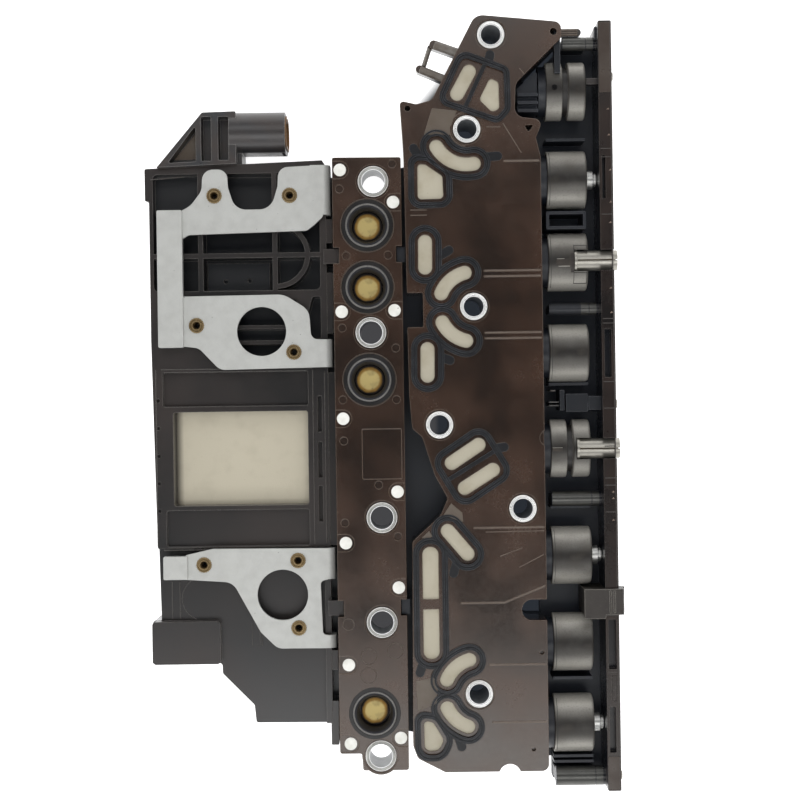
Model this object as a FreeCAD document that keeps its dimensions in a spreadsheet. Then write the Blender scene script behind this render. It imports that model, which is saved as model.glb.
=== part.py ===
import FreeCAD, Part
import math
import os
import re

Vector = FreeCAD.Vector

# A transmission's combined control module, lying with its valve-body side up.
# X runs across the module towards the solenoids, Y along it towards the connector's end,
# and Z up from the face that it rests on. Millimetres throughout.

# Driving dimensions: name, value, what it sets
DIMENSIONS = (
    ("cover_depth", 12.0, "lower cover of the manifold, bench to joint face"),
    ("cover_inset", 1.0, "step in from the manifold's edge to the cover's edge"),
    ("manifold_depth", 24.0, "manifold, joint face to port face"),
    ("manifold_right", 63.4, "face that the solenoids stand on"),
    ("line_height", 0.35, "raised mould lines on the port face"),
    ("line_width", 0.6, "raised mould lines on the port face"),
    ("hook_rise", 12.0, "joint face to the underside of the hook"),
    ("hook_thickness", 6.0, "hook at the upper left edge"),
    ("hook_leg", 3.6, "leg between the hook's two arms"),
    ("tip_level", 20.0, "underside of the tip at the manifold's upper right corner"),
    ("tip_thickness", 3.2, "tip at the manifold's upper right corner"),
    ("nick_depth", 2.4, "nicks and pits in the port face"),
    ("port_half_width", 2.8, "half the width of a slotted port"),
    ("kidney_radius", 14.0, "curved ports, measured from their bolt's axis"),
    ("port_rim", 1.4, "bare rim between a port and its seal"),
    ("port_recess", 0.8, "depth of the seal's seat in the port face"),
    ("port_depth", 12.0, "depth of the oil passages under the ports"),
    ("screen_drop", 2.4, "port face down to a screen"),
    ("screen_thickness", 0.6, "filter screen"),
    ("screen_ledge", 0.8, "ledge that carries a screen"),
    ("gasket_width", 2.4, "seal, outer edge to inner edge"),
    ("gasket_height", 1.7, "seal, seat to the top of its beads"),
    ("bead_width", 0.8, "each of a seal's two beads"),
    ("bead_height", 0.7, "height of the beads over the web between them"),
    ("tab_radius", 1.8, "locating tabs of the seals"),
    ("sleeve_radius", 5.4, "bolt sleeves of the manifold, outside"),
    ("sleeve_bore", 4.0, "bolt sleeves of the manifold, bore radius"),
    ("sleeve_proud", 0.3, "bolt sleeves above the face round them"),
    ("sleeve_relief", 0.8, "sunk ring round a bolt sleeve, width and depth"),
    ("solenoid_height", 19.0, "axis of the solenoids above the bench"),
    ("can_radius", 11.8, "solenoid cans"),
    ("can_length", 16.0, "solenoid cans"),
    ("can_wall", 1.2, "drawn wall of a can"),
    ("can_end", 1.6, "end wall of a can"),
    ("can_corner", 1.0, "rounded rim of a can"),
    ("waist_radius", 9.4, "waist of the two switching solenoids"),
    ("waist_start", 6.6, "from the can's root to the waist"),
    ("waist_width", 2.4, "waist of the two switching solenoids"),
    ("coil_length", 10.2, "windings"),
    ("nose_flange", 3.1, "moulded flange between manifold and can"),
    ("nose_flange_radius", 10.2, "moulded flange between manifold and can"),
    ("nose_radius", 4.5, "nose that plugs into the manifold"),
    ("nose_length", 9.0, "nose inside the manifold"),
    ("nose_end", 1.6, "closed end of the nose"),
    ("guide_radius", 2.5, "stem of the armature"),
    ("guide_clearance", 0.05, "running clearance of the armature in its guide and at its stops"),
    ("armature_radius", 4.3, "head of the armature"),
    ("armature_gap", 0.4, "radial gap from the head to the winding"),
    ("armature_travel", 1.0, "stroke of the armature"),
    ("stud_radius", 3.4, "adjuster studs"),
    ("stud_reach", 3.0, "stud beyond its can"),
    ("stud_tip_radius", 2.3, "turned tip of a stud"),
    ("stud_tip", 1.5, "turned tip of a stud"),
    ("roll_pin_radius", 4.1, "slotted pins across the frame"),
    ("roll_pin_wall", 0.9, "slotted pins, sheet"),
    ("roll_pin_height", 27.0, "axis of the slotted pins above the bench"),
    ("roll_pin_proud", 1.5, "slotted pins beyond the frame"),
    ("pin_clearance", 0.2, "slotted pins to the windings and cans"),
    ("frame_gap", 4.8, "can's end to the retainer frame"),
    ("frame_thickness", 5.4, "retainer frame"),
    ("frame_height", 32.0, "retainer frame"),
    ("frame_recess", 5.0, "depth of the slots in the frame's top"),
    ("tray_floor", 6.4, "floor under the solenoids"),
    ("tray_gap", 0.2, "cover to the tray beside it"),
    ("rib_height", 22.0, "tops of the tray's ribs above the bench"),
    ("block_height", 27.0, "block behind the first solenoid, top above the bench"),
    ("block_step", 4.0, "ribs on that block"),
    ("box_height", 27.6, "open box of the tray, top above the bench"),
    ("terminal_height", 24.4, "terminal block, top above the bench"),
    ("tongue_height", 16.6, "tongue from the terminal block to the frame, top above the bench"),
    ("web_height", 20.3, "webs under the spacer posts, top above the bench"),
    ("post_height", 22.0, "axis of the spacer posts above the bench"),
    ("post_split", 0.6, "can's end to the joint of the two halves of a post"),
    ("latch_wall", 2.0, "sheet of the latch that straddles the frame"),
    ("latch_barb", 1.4, "barb of the latch"),
    ("latch_start", 75.0, "near side of the latch, down from the module's middle"),
    ("latch_width", 10.4, "latch along the frame"),
    ("latch_reach", 8.6, "latch on the solenoids' side of the frame"),
    ("latch_head", 5.0, "height of the latch's wide head"),
    ("latch_overhang", 1.5, "head of the latch beyond its leg"),
    ("latch_hook_foot", 20.0, "foot of the latch's hook above the bench"),
    ("latch_hook_rise", 3.6, "sloping side of the latch's hook"),
    ("latch_groove", 0.6, "grooves over the frame, width and depth"),
    ("panel_groove", 0.5, "sunk outline on the frame, width and depth"),
    ("screw_radius", 1.0, "frame screws, shank"),
    ("screw_head", 1.7, "frame screws, head radius"),
    ("screw_head_height", 1.4, "frame screws, head"),
    ("screw_length", 4.4, "frame screws, shank"),
    ("carrier_left", -20.2, "left edge of the switch strip"),
    ("carrier_width", 27.6, "switch strip"),
    ("carrier_depth", 22.0, "switch strip"),
    ("carrier_seat", 2.4, "width of the ledges that the strip rests on"),
    ("carrier_notch", 2.4, "notches in the strip's sides"),
    ("carrier_sleeve_radius", 6.1, "bolt sleeves of the strip, outside"),
    ("carrier_sleeve_bore", 4.6, "bolt sleeves of the strip, bore radius"),
    ("carrier_boss", 7.6, "rounded foot of the strip round its last sleeve"),
    ("notch_clearance", 0.3, "tabs of the neighbours in the strip's notches"),
    ("notch_tab", 18.0, "tabs of the neighbours above the joint face"),
    ("pin_radius", 2.5, "white pins of the strip"),
    ("pin_length", 9.0, "white pins of the strip"),
    ("pin_proud", 0.2, "white pins above the strip"),
    ("pin_seat_radius", 3.5, "sunk seat round a white pin, open to the strip's side"),
    ("pin_seat_depth", 0.5, "sunk seat round a white pin"),
    ("mark_radius", 1.6, "small moulded dimples of the strip"),
    ("mark_depth", 1.2, "small moulded dimples of the strip"),
    ("well_radius", 8.2, "pressure switch wells"),
    ("well_depth", 10.0, "pressure switch wells"),
    ("lip_radius", 9.2, "rubber lip round a well"),
    ("lip_depth", 0.8, "seat of the rubber lip"),
    ("lip_proud", 0.7, "rubber lip above the strip"),
    ("cup_radius", 6.3, "inside of the rubber cup at its foot"),
    ("cup_flare", 4.2, "height of the cup's flared mouth"),
    ("disc_radius", 6.0, "contact discs"),
    ("disc_thickness", 1.2, "contact discs"),
    ("disc_rest", 1.2, "contact disc above the floor of its well"),
    ("base_thickness", 3.0, "aluminium plate under the housing"),
    ("base_inset", 1.0, "step in from the housing's edge to the plate's edge"),
    ("deck_height", 22.0, "lower deck of the housing above the bench"),
    ("wall_rise", 4.0, "walls and ribs above the lower deck"),
    ("compartment_depth", 14.0, "ribbed compartments, from the top of the ribs"),
    ("rib_width", 2.0, "ribs of the compartments"),
    ("bay_block", 6.0, "block in the corner compartment"),
    ("bay_step", 4.0, "raised floor of the middle compartment"),
    ("shelf_height", 10.0, "shelves of the lower compartment"),
    ("drain_radius", 0.9, "drains in the raised floor"),
    ("drain_depth", 3.2, "drains in the raised floor"),
    ("flank_height", 25.0, "wall between the housing and the strip, top above the bench"),
    ("clip_gap", 0.5, "strip to the clips beside it"),
    ("clip_height", 25.6, "clips beside the strip, top above the bench"),
    ("rail_hole_radius", 0.8, "holes in the housing's left rail"),
    ("rail_hole_depth", 2.4, "holes in the housing's left rail"),
    ("housing_wall_right", -23.2, "outer face of the housing's right wall"),
    ("window_recess", 3.0, "recesses above and below the housing's window"),
    ("heat_plate_top", 15.0, "cream plate above the bench"),
    ("heat_plate_thickness", 2.0, "cream plate"),
    ("board_height", 6.0, "underside of the circuit board above the bench"),
    ("board_thickness", 1.6, "circuit board"),
    ("bracket_gap", 2.0, "housing walls to the underside of the brackets"),
    ("bracket_thickness", 2.0, "aluminium sheet of the brackets"),
    ("bracket_drop", 9.0, "turned-down edge of the brackets"),
    ("bend_radius", 1.0, "inside of the brackets' bends"),
    ("insert_radius", 2.3, "brass inserts"),
    ("insert_bore", 1.3, "brass inserts, bore radius"),
    ("insert_flange", 3.2, "flange of a brass insert, radius"),
    ("insert_proud", 0.7, "flange of a brass insert"),
    ("insert_length", 10.0, "brass inserts below their flange"),
    ("boss_radius", 4.2, "bosses that carry the inserts"),
    ("arm_floor", 20.0, "floor of the connector's arm above the bench"),
    ("arm_rise", 9.0, "ribs of the connector's arm"),
    ("barrel_width", 16.4, "connector barrel, across"),
    ("barrel_height", 28.0, "connector barrel, upright"),
    ("barrel_axis", 111.4, "middle of the barrel along the module"),
    ("barrel_wall", 1.6, "connector barrel"),
    ("barrel_mouth", -39.2, "mouth of the connector barrel"),
    ("barrel_length", 22.6, "connector barrel"),
    ("socket_depth", 16.0, "connector socket"),
    ("connector_seal_wall", 1.2, "seal in the barrel's mouth"),
    ("connector_seal_length", 4.0, "seal in the barrel's mouth"),
    ("connector_seal_proud", 0.5, "seal beyond the barrel's mouth"),
    ("contact_size", 0.8, "connector contacts, square"),
    ("contact_pitch", 2.4, "connector contacts along a row"),
    ("contact_rows", 4.4, "connector contacts, row to row"),
    ("contact_length", 9.0, "connector contacts, free length"),
)

doc = FreeCAD.newDocument("TransmissionControlModule")
sheet = doc.addObject("Spreadsheet::Sheet", "Dimensions")
for row, (name, number, meaning) in enumerate(DIMENSIONS, start=1):
    sheet.set(f"A{row}", name)
    sheet.set(f"B{row}", str(number))
    sheet.setAlias(f"B{row}", name)
    sheet.set(f"C{row}", meaning)
doc.recompute()

parts = []

# Levels and faces that several pieces share
PORT_FACE = "cover_depth + manifold_depth"
SEAL_SEAT = f"{PORT_FACE} - port_recess"
CARRIER_TOP = "cover_depth + carrier_depth"
CARRIER_RIGHT = "carrier_left + carrier_width"
WELL_FLOOR = f"{CARRIER_TOP} - well_depth"
CAN_START = "manifold_right + nose_flange"
CAN_STOP = f"{CAN_START} + can_length"
COIL_STOP = f"{CAN_START} + coil_length"
POST_JOINT = f"{CAN_STOP} + post_split"
FRAME_FACE = f"{CAN_STOP} + frame_gap"
FRAME_BACK = f"{FRAME_FACE} + frame_thickness"
WALL_TOP = "deck_height + wall_rise"
COMPARTMENT_FLOOR = f"{WALL_TOP} - compartment_depth"
BRACKET_UNDERSIDE = f"{WALL_TOP} + bracket_gap"
BRACKET_TOP = f"{BRACKET_UNDERSIDE} + bracket_thickness"
SOCKET_FLOOR = "barrel_mouth - socket_depth"


def bound(formula):
    """The same formula with each name pointed at its cell of the sheet."""
    return re.sub(r"[a-z][a-z_]+", r"Dimensions.\g<0>", formula)


def value(formula):
    """What a formula of cell names comes to."""
    return float(sheet.evalExpression(bound(formula)))


# Closed outlines, each of which can be grown or shrunk


class Corners:
    """Straight sides with rounded corners, given as (x, y, corner radius)."""

    def __init__(self, *corners):
        turning = sum(a[0] * b[1] - b[0] * a[1] for a, b in zip(corners, corners[1:] + corners[:1]))
        self.corners = corners if turning > 0 else tuple(reversed(corners))

    def grown_points(self, grow):
        points = [Vector(x, y, 0) for x, y, _ in self.corners]
        sides = []
        for start, end in zip(points, points[1:] + points[:1]):
            along = (end - start).normalize()
            sides.append((start + Vector(along.y, -along.x, 0) * grow, along))
        met = []
        for (first, along), (second, following) in zip(sides[-1:] + sides[:-1], sides):
            reach = (second - first).cross(following).z / along.cross(following).z
            met.append(first + along * reach)
        return met

    def edges(self, grow=0.0):
        points = self.grown_points(grow)
        count = len(points)
        turns = []
        for i, point in enumerate(points):
            before = point - points[i - 1]
            after = points[(i + 1) % count] - point
            room = 0.48 * min(before.Length, after.Length)
            before.normalize()
            after.normalize()
            bend = math.tan(before.getAngle(after) / 2)
            side = 1 if before.cross(after).z > 0 else -1
            radius = min(max(self.corners[i][2] + side * grow, 0.0), room / bend)
            turns.append((point, before, after, radius, radius * bend, side))
        curves = []
        for i, (point, before, after, radius, cut, side) in enumerate(turns):
            start, end = point - before * cut, point + after * cut
            if radius > 0.01:
                centre = start + Vector(-before.y, before.x, 0) * radius * side
                curves.append(Part.Arc(start, centre + (point - centre).normalize() * radius, end))
            nearest, arriving, _, _, trimmed, _ = turns[(i + 1) % count]
            curves.append(Part.LineSegment(end, nearest - arriving * trimmed))
        return curves


class Slot:
    """A straight slot between two end centres."""

    def __init__(self, start, end, half_width):
        self.start = Vector(*start, 0)
        self.end = Vector(*end, 0)
        self.half_width = half_width

    def edges(self, grow=0.0):
        start, end, reach = self.start, self.end, self.half_width + grow
        along = (end - start).normalize() * reach
        side = Vector(-along.y, along.x, 0)
        return [
            Part.LineSegment(start - side, end - side),
            Part.Arc(end - side, end + along, end + side),
            Part.LineSegment(end + side, start + side),
            Part.Arc(start + side, start - along, start - side),
        ]


class Kidney:
    """A slot curved round a centre, from one angle to another in degrees."""

    def __init__(self, centre, radius, start, stop, half_width):
        self.centre = Vector(*centre, 0)
        self.radius = radius
        self.angles = (start, stop)
        self.half_width = half_width

    def at(self, angle, radius):
        turn = math.radians(angle)
        return self.centre + Vector(math.cos(turn), math.sin(turn), 0) * radius

    def end_cap(self, angle, reach, sense):
        turn = math.radians(angle + 90 * sense)
        tip = self.at(angle, self.radius) + Vector(math.cos(turn), math.sin(turn), 0) * reach
        outer = self.at(angle, self.radius + sense * reach)
        inner = self.at(angle, self.radius - sense * reach)
        return Part.Arc(outer, tip, inner)

    def edges(self, grow=0.0):
        start, stop = self.angles
        middle, reach = (start + stop) / 2, self.half_width + grow
        outer, inner = self.radius + reach, self.radius - reach
        return [
            Part.Arc(self.at(start, outer), self.at(middle, outer), self.at(stop, outer)),
            self.end_cap(stop, reach, 1),
            Part.Arc(self.at(stop, inner), self.at(middle, inner), self.at(start, inner)),
            self.end_cap(start, reach, -1),
        ]


class Round:
    """A circle."""

    def __init__(self, x, y, radius):
        self.centre = Vector(x, y, 0)
        self.radius = radius

    def edges(self, grow=0.0):
        return [Part.Circle(self.centre, Vector(0, 0, 1), self.radius + grow)]


class Grown:
    """Another outline, always grown by a margin."""

    def __init__(self, outline, margin):
        self.outline = outline
        self.margin = margin

    def edges(self, grow=0.0):
        return self.outline.edges(self.margin + grow)


def band(start, end, width):
    """A straight band of constant width with square ends."""
    first, last = Vector(*start, 0), Vector(*end, 0)
    along = (last - first).normalize()
    half = Vector(-along.y, along.x, 0) * width / 2
    return Corners(*((p.x, p.y, 0.0) for p in (first - half, last - half, last + half, first + half)))


def box(x1, y1, x2, y2, corner=0.0):
    """A rectangle between two opposite corners."""
    left, right = sorted((x1, x2))
    low, high = sorted((y1, y2))
    return Corners((left, low, corner), (right, low, corner), (right, high, corner), (left, high, corner))


def rounds(places, radius):
    """Equal circles on a list of places."""
    return [Round(x, y, value(radius)) for x, y in places]


class Piece:
    """One body with its sketches on its own origin planes and sizes bound to the sheet."""

    def __init__(self, label):
        self.body = doc.addObject("PartDesign::Body", label)
        self.body.Label = label
        self.steps = 0
        parts.append(self.body)

    def sketch(self, outlines, height="0", plane="XY_Plane"):
        self.steps += 1
        sketch = self.body.newObject("Sketcher::SketchObject", f"{self.body.Name}_sketch_{self.steps}")
        faces = [face for face in self.body.Origin.OriginFeatures if face.Role == plane]
        sketch.AttachmentSupport = [(faces[0], "")]
        sketch.MapMode = "FlatFace"
        sketch.setExpression("AttachmentOffset.Base.z", bound(height))
        for outline in outlines:
            for edge in outline:
                sketch.addGeometry(edge)
        return sketch

    def feature(self, kind, sketch, length, flip=False):
        made = self.body.newObject(f"PartDesign::{kind}", f"{self.body.Name}_{kind.lower()}_{self.steps}")
        made.Profile = sketch
        made.setExpression("Length", bound(length))
        made.Reversed = flip

    def pad(self, outlines, height, length, plane="XY_Plane", flip=False):
        """Adds prisms from the height along the plane's normal."""
        drawn = self.sketch([outline.edges() for outline in outlines], height, plane)
        self.feature("Pad", drawn, length, flip)

    def pocket(self, outlines, height, depth, plane="XY_Plane", grow=0.0, flip=False):
        """Cuts prisms from the height against the plane's normal."""
        drawn = self.sketch([outline.edges(grow) for outline in outlines], height, plane)
        self.feature("Pocket", drawn, depth, flip)

    def trench(self, outlines, height, depth, outer, inner):
        """Cuts a trench that runs along each outline between two growths."""
        drawn = [outline.edges(grow) for grow in (outer, inner) for outline in outlines]
        self.feature("Pocket", self.sketch(drawn, height), depth)

    def turn(self, profile, plane="XY_Plane", axis="H_Axis"):
        """Turns a closed profile about an axis of its plane."""
        sketch = self.sketch([profile.edges()], "0", plane)
        turned = self.body.newObject("PartDesign::Revolution", f"{self.body.Name}_turned_{self.steps}")
        turned.Profile = sketch
        turned.ReferenceAxis = (sketch, [axis])
        turned.Angle = 360

    def place(self, x, y, z):
        """Moves the body to formulas of cell names or plain numbers."""
        for axis, distance in zip("xyz", (x, y, z)):
            self.body.setExpression(f"Placement.Base.{axis}", bound(str(distance)))


# Places seen on the module's face

SLEEVES = ((44.1, 147.6), (34.0, 110.0), (35.8, 39.0), (21.5, -8.2), (54.4, -42.1), (35.9, -116.0))
CARRIER_SLEEVES = ((-3.8, 89.8), (-5.5, 29.2), (-2.1, -45.1), (-2.6, -87.1), (-3.8, -140.6))
SWITCHES = ((-6.4, 72.2), (-6.6, 47.4), (-6.3, 10.3), (-6.0, -123.5))
PINS = (
    (-17.1, 94.6), (4.1, 81.4), (-17.1, 37.7), (4.1, 38.0), (-17.1, -5.2), (4.3, -34.8),
    (-16.7, -55.1), (4.3, -73.2), (-16.2, -104.0), (4.3, -133.5), (-15.8, -135.6),
)
MARKS = (
    (-17.4, 87.0), (3.9, 96.8), (-15.0, 60.1), (1.8, 60.2), (-17.0, 31.2), (4.4, 22.9), (-17.1, 2.4),
    (4.4, 2.2), (-17.0, -14.1), (-3.2, -32.0), (-17.0, -47.0), (4.2, -52.8),
)
# Notches in the strip's sides, from one place along it to another
RIGHT_NOTCHES = ((57.3, 63.8), (-84.5, -78.0))
LEFT_NOTCHES = ((57.1, 63.5), (-84.8, -78.2))
SOLENOIDS = (126.9, 90.7, 57.3, 20.2, -18.6, -62.2, -97.5, -130.5)
WAISTED = (0, 4)
PINNED = (2, 4)
STUDDED = (1, 5, 7)
# Spacer posts: place along the module, radius, distance from the manifold to their start
POSTS = ((145.8, 2.7, 10.2), (38.1, 2.5, 3.5), (-0.7, 3.0, 11.6), (-39.1, 3.0, 3.5), (-151.8, 3.9, 3.7))
SCREWS = (132.4, -0.7, -151.8)
UPPER_INSERTS = ((-68.0, 85.3), (-37.6, 85.1), (-75.8, 33.1), (-36.7, 21.9))
LOWER_INSERTS = ((-74.1, -63.4), (-36.2, -62.1), (-36.2, -89.3))


# Oil ports and their seals


class Port:
    """One port: its windows, the outer edge of its seal, and the bar that may divide it."""

    def __init__(self, windows, ring, bar=None):
        self.windows = windows
        self.ring = ring
        self.bar = bar


def single_port(window):
    """A port with one window."""
    return Port([window], Grown(window, value("port_rim + gasket_width")))


def kidney_port(sleeve, start, stop):
    """A port that curves round one of the bolt sleeves."""
    window = Kidney(SLEEVES[sleeve], value("kidney_radius"), start, stop, value("port_half_width"))
    return single_port(window)


def slotted_port(start, end):
    """A port with one straight window."""
    return single_port(Slot(start, end, value("port_half_width")))


def top_port():
    ring = Corners((31.6, 142.0, 5), (51.4, 134.4, 4), (51.8, 117.2, 5), (46.8, 111.8, 4), (21.6, 120.6, 4.5))
    slot = Slot((35.3, 133.2), (30.4, 124.3), value("port_half_width"))
    side = Corners(
        (43.6, 130.6, 1.6), (47.0, 128.8, 1.6), (47.2, 118.0, 1.8), (44.2, 116.8, 1.8), (39.2, 121.8, 1.6),
    )
    return Port([slot, side], ring, ((41.8, 136.3), (33.1, 117.8)))


def middle_port():
    half_width = value("port_half_width")
    slots = [Slot((26.2, -23.5), (37.0, -16.4), half_width), Slot((31.3, -33.6), (42.6, -26.5), half_width)]
    ring = Corners((17.2, -21.7, 6), (38.8, -7.4, 6), (51.4, -28.3, 6), (29.7, -42.6, 6))
    return Port(slots, ring, ((24.0, -30.6), (44.6, -18.2)))


def long_port():
    """Two windows in line, with a rib of the manifold between them."""
    left, right = 13.9, 20.3
    upper = Corners((left, -78.0, 0.3), (right, -78.0, 0.3), (right, -57.0, 3.1), (left, -57.0, 3.1))
    lower = Corners((left, -82.0, 0.3), (right, -82.0, 0.3), (right, -102.0, 3.1), (left, -102.0, 3.1))
    whole = Corners((left, -57.0, 3.1), (right, -57.0, 3.1), (right, -102.0, 3.1), (left, -102.0, 3.1))
    return Port([upper, lower], Grown(whole, value("port_rim + gasket_width")))


UPPER_SQUARE = Corners(
    (14.1, 96.4, 1.4), (17.2, 96.2, 1.4), (24.0, 91.4, 1.6), (24.3, 82.4, 1.6), (14.0, 82.2, 1.6),
)
LAST = Corners(
    (13.6, -126.6, 2.4), (17.2, -127.2, 2.4), (21.6, -134.4, 2.8), (19.4, -138.8, 2.8), (13.8, -138.8, 2.4),
)

# Neighbouring rings may touch, but never two of the same group
FIRST_PORTS = {
    "top": top_port(),
    "upper_square": single_port(UPPER_SQUARE),
    "fifth": kidney_port(2, 104, 157),
    "seventh": slotted_port((17.1, 22.2), (17.0, 11.6)),
    "ninth": slotted_port((24.2, -50.7), (32.0, -60.0)),
    "eleventh": kidney_port(5, 105.5, 156.5),
    "last": single_port(LAST),
}
SECOND_PORTS = {
    "upper_kidney": kidney_port(1, 209, 281),
    "fourth": slotted_port((16.7, 65.2), (16.6, 54.9)),
    "sixth": kidney_port(2, 206, 257),
    "middle": middle_port(),
    "long": long_port(),
    "twelfth": kidney_port(5, 204, 251),
}
WINDOWS = [
    window for ports in (FIRST_PORTS, SECOND_PORTS) for port in ports.values() for window in port.windows
]

# Moulded seals, each of which joins ports whose rings touch, with their locating tabs
GASKETS = (
    (("top",), (((43.7, 139.6), (42.9, 136.4)),)),
    (("upper_kidney", "upper_square"), (((46.2, 99.0), (42.4, 98.8)), ((12.6, 102.6), (14.6, 99.2)))),
    (("fourth", "fifth", "sixth", "seventh"), (((26.2, 61.6), (22.4, 59.4)), ((26.0, 17.6), (22.6, 18.8)))),
    (("middle",), (((47.2, -17.4), (43.6, -18.0)),)),
    (
        ("ninth", "long", "eleventh", "twelfth", "last"),
        (((26.3, -67.6), (27.6, -63.4)), ((12.3, -107.2), (13.4, -104.0)), ((28.6, -137.0), (27.6, -133.6))),
    ),
)


def seal_tabs(tabs):
    return [Slot(outer, inner, value("tab_radius")) for outer, inner in tabs]


# Manifold, cover and screens


def manifold_outline():
    right = value("manifold_right")
    return Corners(
        (38.0, 155.8, 5.0), (72.3, 152.4, 3.0), (72.3, 146.2, 2.0), (53.7, 128.0, 5.0), (53.2, 114.8, 4.0),
        (64.6, 113.4, 2.5), (61.6, 106.2, 1.5), (right, 98.5, 0.8), (right, -147.2, 2.8), (22.0, -147.2, 1.0),
        (11.0, -141.5, 3.0), (9.2, -136.5, 3.0), (10.0, -54.8, 2.0), (21.6, -44.2, 5.0), (24.4, -37.6, 2.0),
        (19.4, -28.5, 3.0), (14.5, -13.0, 3.0), (10.6, -9.6, 2.0), (9.6, 3.0, 1.0), (9.2, 31.0, 0.6),
        (15.6, 31.0, 0.6), (15.6, 44.8, 0.6), (9.2, 44.8, 0.6), (8.6, 97.5, 1.5), (8.2, 106.0, 1.0),
        (7.2, 121.8, 1.5), (14.0, 120.2, 3.0), (20.2, 121.8, 3.0),
    )


def edge_notches():
    """Openings in the edges that go through the manifold and its cover."""
    right = value("manifold_right")
    return [Slot((right + 6.0, -82.7), (right - 5.8, -82.7), 4.2), Round(47.8, -148.6, 4.4)]


def mould_lines():
    stop, width = value("manifold_right") - 0.6, value("line_width")
    starts = (
        (40.0, 53.2), (40.0, 51.0), (40.0, 28.4), (40.0, 26.2), (48.5, 97.0), (34.5, -49.6), (40.0, -104.4),
        (41.0, -127.4),
    )
    lines = [band(start, (stop, start[1]), width) for start in starts]
    kink, low, high = 46.4, -79.9, -73.4
    lines.append(
        Corners(
            (29.0, low, 0), (kink, low, 0), (stop, high, 0),
            (stop, high + width, 0), (kink - 0.1, low + width, 0), (29.0, low + width, 0),
        )
    )
    return lines


def make_manifold():
    piece = Piece("manifold_body")
    piece.pad([manifold_outline()], "cover_depth", "manifold_depth")
    hook = [Slot((33.5, 140.6), (21.4, 145.0), 1.8), Slot((27.0, 130.4), (15.6, 135.2), 1.6)]
    piece.pad(hook, "cover_depth + hook_rise", "hook_thickness")
    piece.pad([Slot((19.8, 144.4), (17.0, 136.0), 0.9)], "cover_depth + hook_rise", "hook_leg")
    piece.pad([Slot((70.0, 150.4), (79.9, 150.4), 1.5)], "tip_level", "tip_thickness")
    # Seats of the seals, in two passes because neighbouring rings overlap
    for ports in (FIRST_PORTS, SECOND_PORTS):
        piece.pocket([port.ring for port in ports.values()], PORT_FACE, "port_recess")
    piece.pocket([tab for _, tabs in GASKETS for tab in seal_tabs(tabs)], PORT_FACE, "port_recess")
    piece.pocket(WINDOWS, PORT_FACE, "screen_drop + screen_thickness")
    piece.pocket(WINDOWS, PORT_FACE, "port_depth", grow=-value("screen_ledge"))
    piece.pocket(rounds(SLEEVES, "sleeve_radius"), PORT_FACE, "manifold_depth")
    piece.pocket(rounds(SLEEVES, "sleeve_radius + sleeve_relief"), PORT_FACE, "sleeve_relief")
    piece.pocket(edge_notches(), PORT_FACE, "manifold_depth")
    right = value("manifold_right")
    piece.pocket([Round(right + 1.4, -14.0, 3.2)], PORT_FACE, "nick_depth")
    piece.pocket([Round(69.2, 148.6, 1.4), Round(10.4, 118.6, 1.2)], PORT_FACE, "port_depth")
    triangle = Corners((57.0, 111.2, 0.5), (61.0, 111.4, 0.5), (58.6, 108.4, 0.5))
    piece.pocket([triangle], PORT_FACE, "port_depth")
    piece.pocket([Round(61.2, -99.8, 0.9), Round(57.4, -138.4, 0.9)], PORT_FACE, "nick_depth")
    noses = rounds([(y, value("solenoid_height")) for y in SOLENOIDS], "nose_radius")
    piece.pocket(noses, "manifold_right", "nose_length", plane="YZ_Plane")
    piece.pad(mould_lines(), PORT_FACE, "line_height")


def make_lower_cover():
    """Black cover under the manifold, with a flange on the left that carries the switch strip."""
    piece = Piece("lower_cover")
    right = value("manifold_right - cover_inset")
    seat = value(f"{CARRIER_RIGHT} - carrier_seat")
    outline = Corners(
        (38.6, 154.6, 4.5), (71.2, 151.2, 2.5), (71.2, 146.6, 2.0), (52.6, 128.4, 4.0), (52.1, 113.8, 3.0),
        (right, 112.4, 2.0), (right, -146.2, 2.2), (22.2, -146.2, 1.0), (12.0, -140.8, 3.0),
        (10.2, -135.0, 1.0), (seat, -134.0, 1.0), (seat, 97.0, 1.0), (9.0, 98.0, 0.5), (9.2, 106.0, 0.5),
        (8.4, 120.4, 1.0), (20.6, 120.6, 3.0),
    )
    piece.pad([outline], "0", "cover_depth")
    piece.pocket(rounds(SLEEVES, "sleeve_radius"), "cover_depth", "cover_depth")
    piece.pocket(edge_notches(), "cover_depth", "cover_depth")
    gap = value("notch_clearance")
    root, notch = value(CARRIER_RIGHT), value("carrier_notch")
    tabs = [box(root - notch + gap, low + gap, 8.7, high - gap) for low, high in RIGHT_NOTCHES]
    piece.pad(tabs, "cover_depth", "notch_tab")


def make_screens():
    piece = Piece("filter_screens")
    piece.pad(WINDOWS, f"{PORT_FACE} - screen_drop - screen_thickness", "screen_thickness")


def make_gasket(number, names, tabs):
    piece = Piece(f"port_gasket_{number}")
    passes = [[ports[name] for name in names if name in ports] for ports in (FIRST_PORTS, SECOND_PORTS)]
    passes = [ports for ports in passes if ports]
    for ports in passes:
        piece.pad([port.ring for port in ports], SEAL_SEAT, "gasket_height")
    piece.pad(seal_tabs(tabs), SEAL_SEAT, "gasket_height - bead_height")
    top = f"{SEAL_SEAT} + gasket_height"
    for ports in passes:
        piece.pocket([port.ring for port in ports], top, "gasket_height", grow=-value("gasket_width"))
    outer, inner = -value("bead_width"), value("bead_width - gasket_width")
    for ports in passes:
        piece.trench([port.ring for port in ports], top, "bead_height", outer, inner)
        bars = [band(*port.bar, value("2 * bead_width")) for port in ports if port.bar]
        if bars:
            piece.pad(bars, SEAL_SEAT, "gasket_height - line_height")


def make_tubes(label, places, outer, bore, base, length):
    """A group of equal tubes that stand on one level."""
    piece = Piece(label)
    piece.pad(rounds(places, outer) + rounds(places, bore), base, length)


# Solenoids


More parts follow.
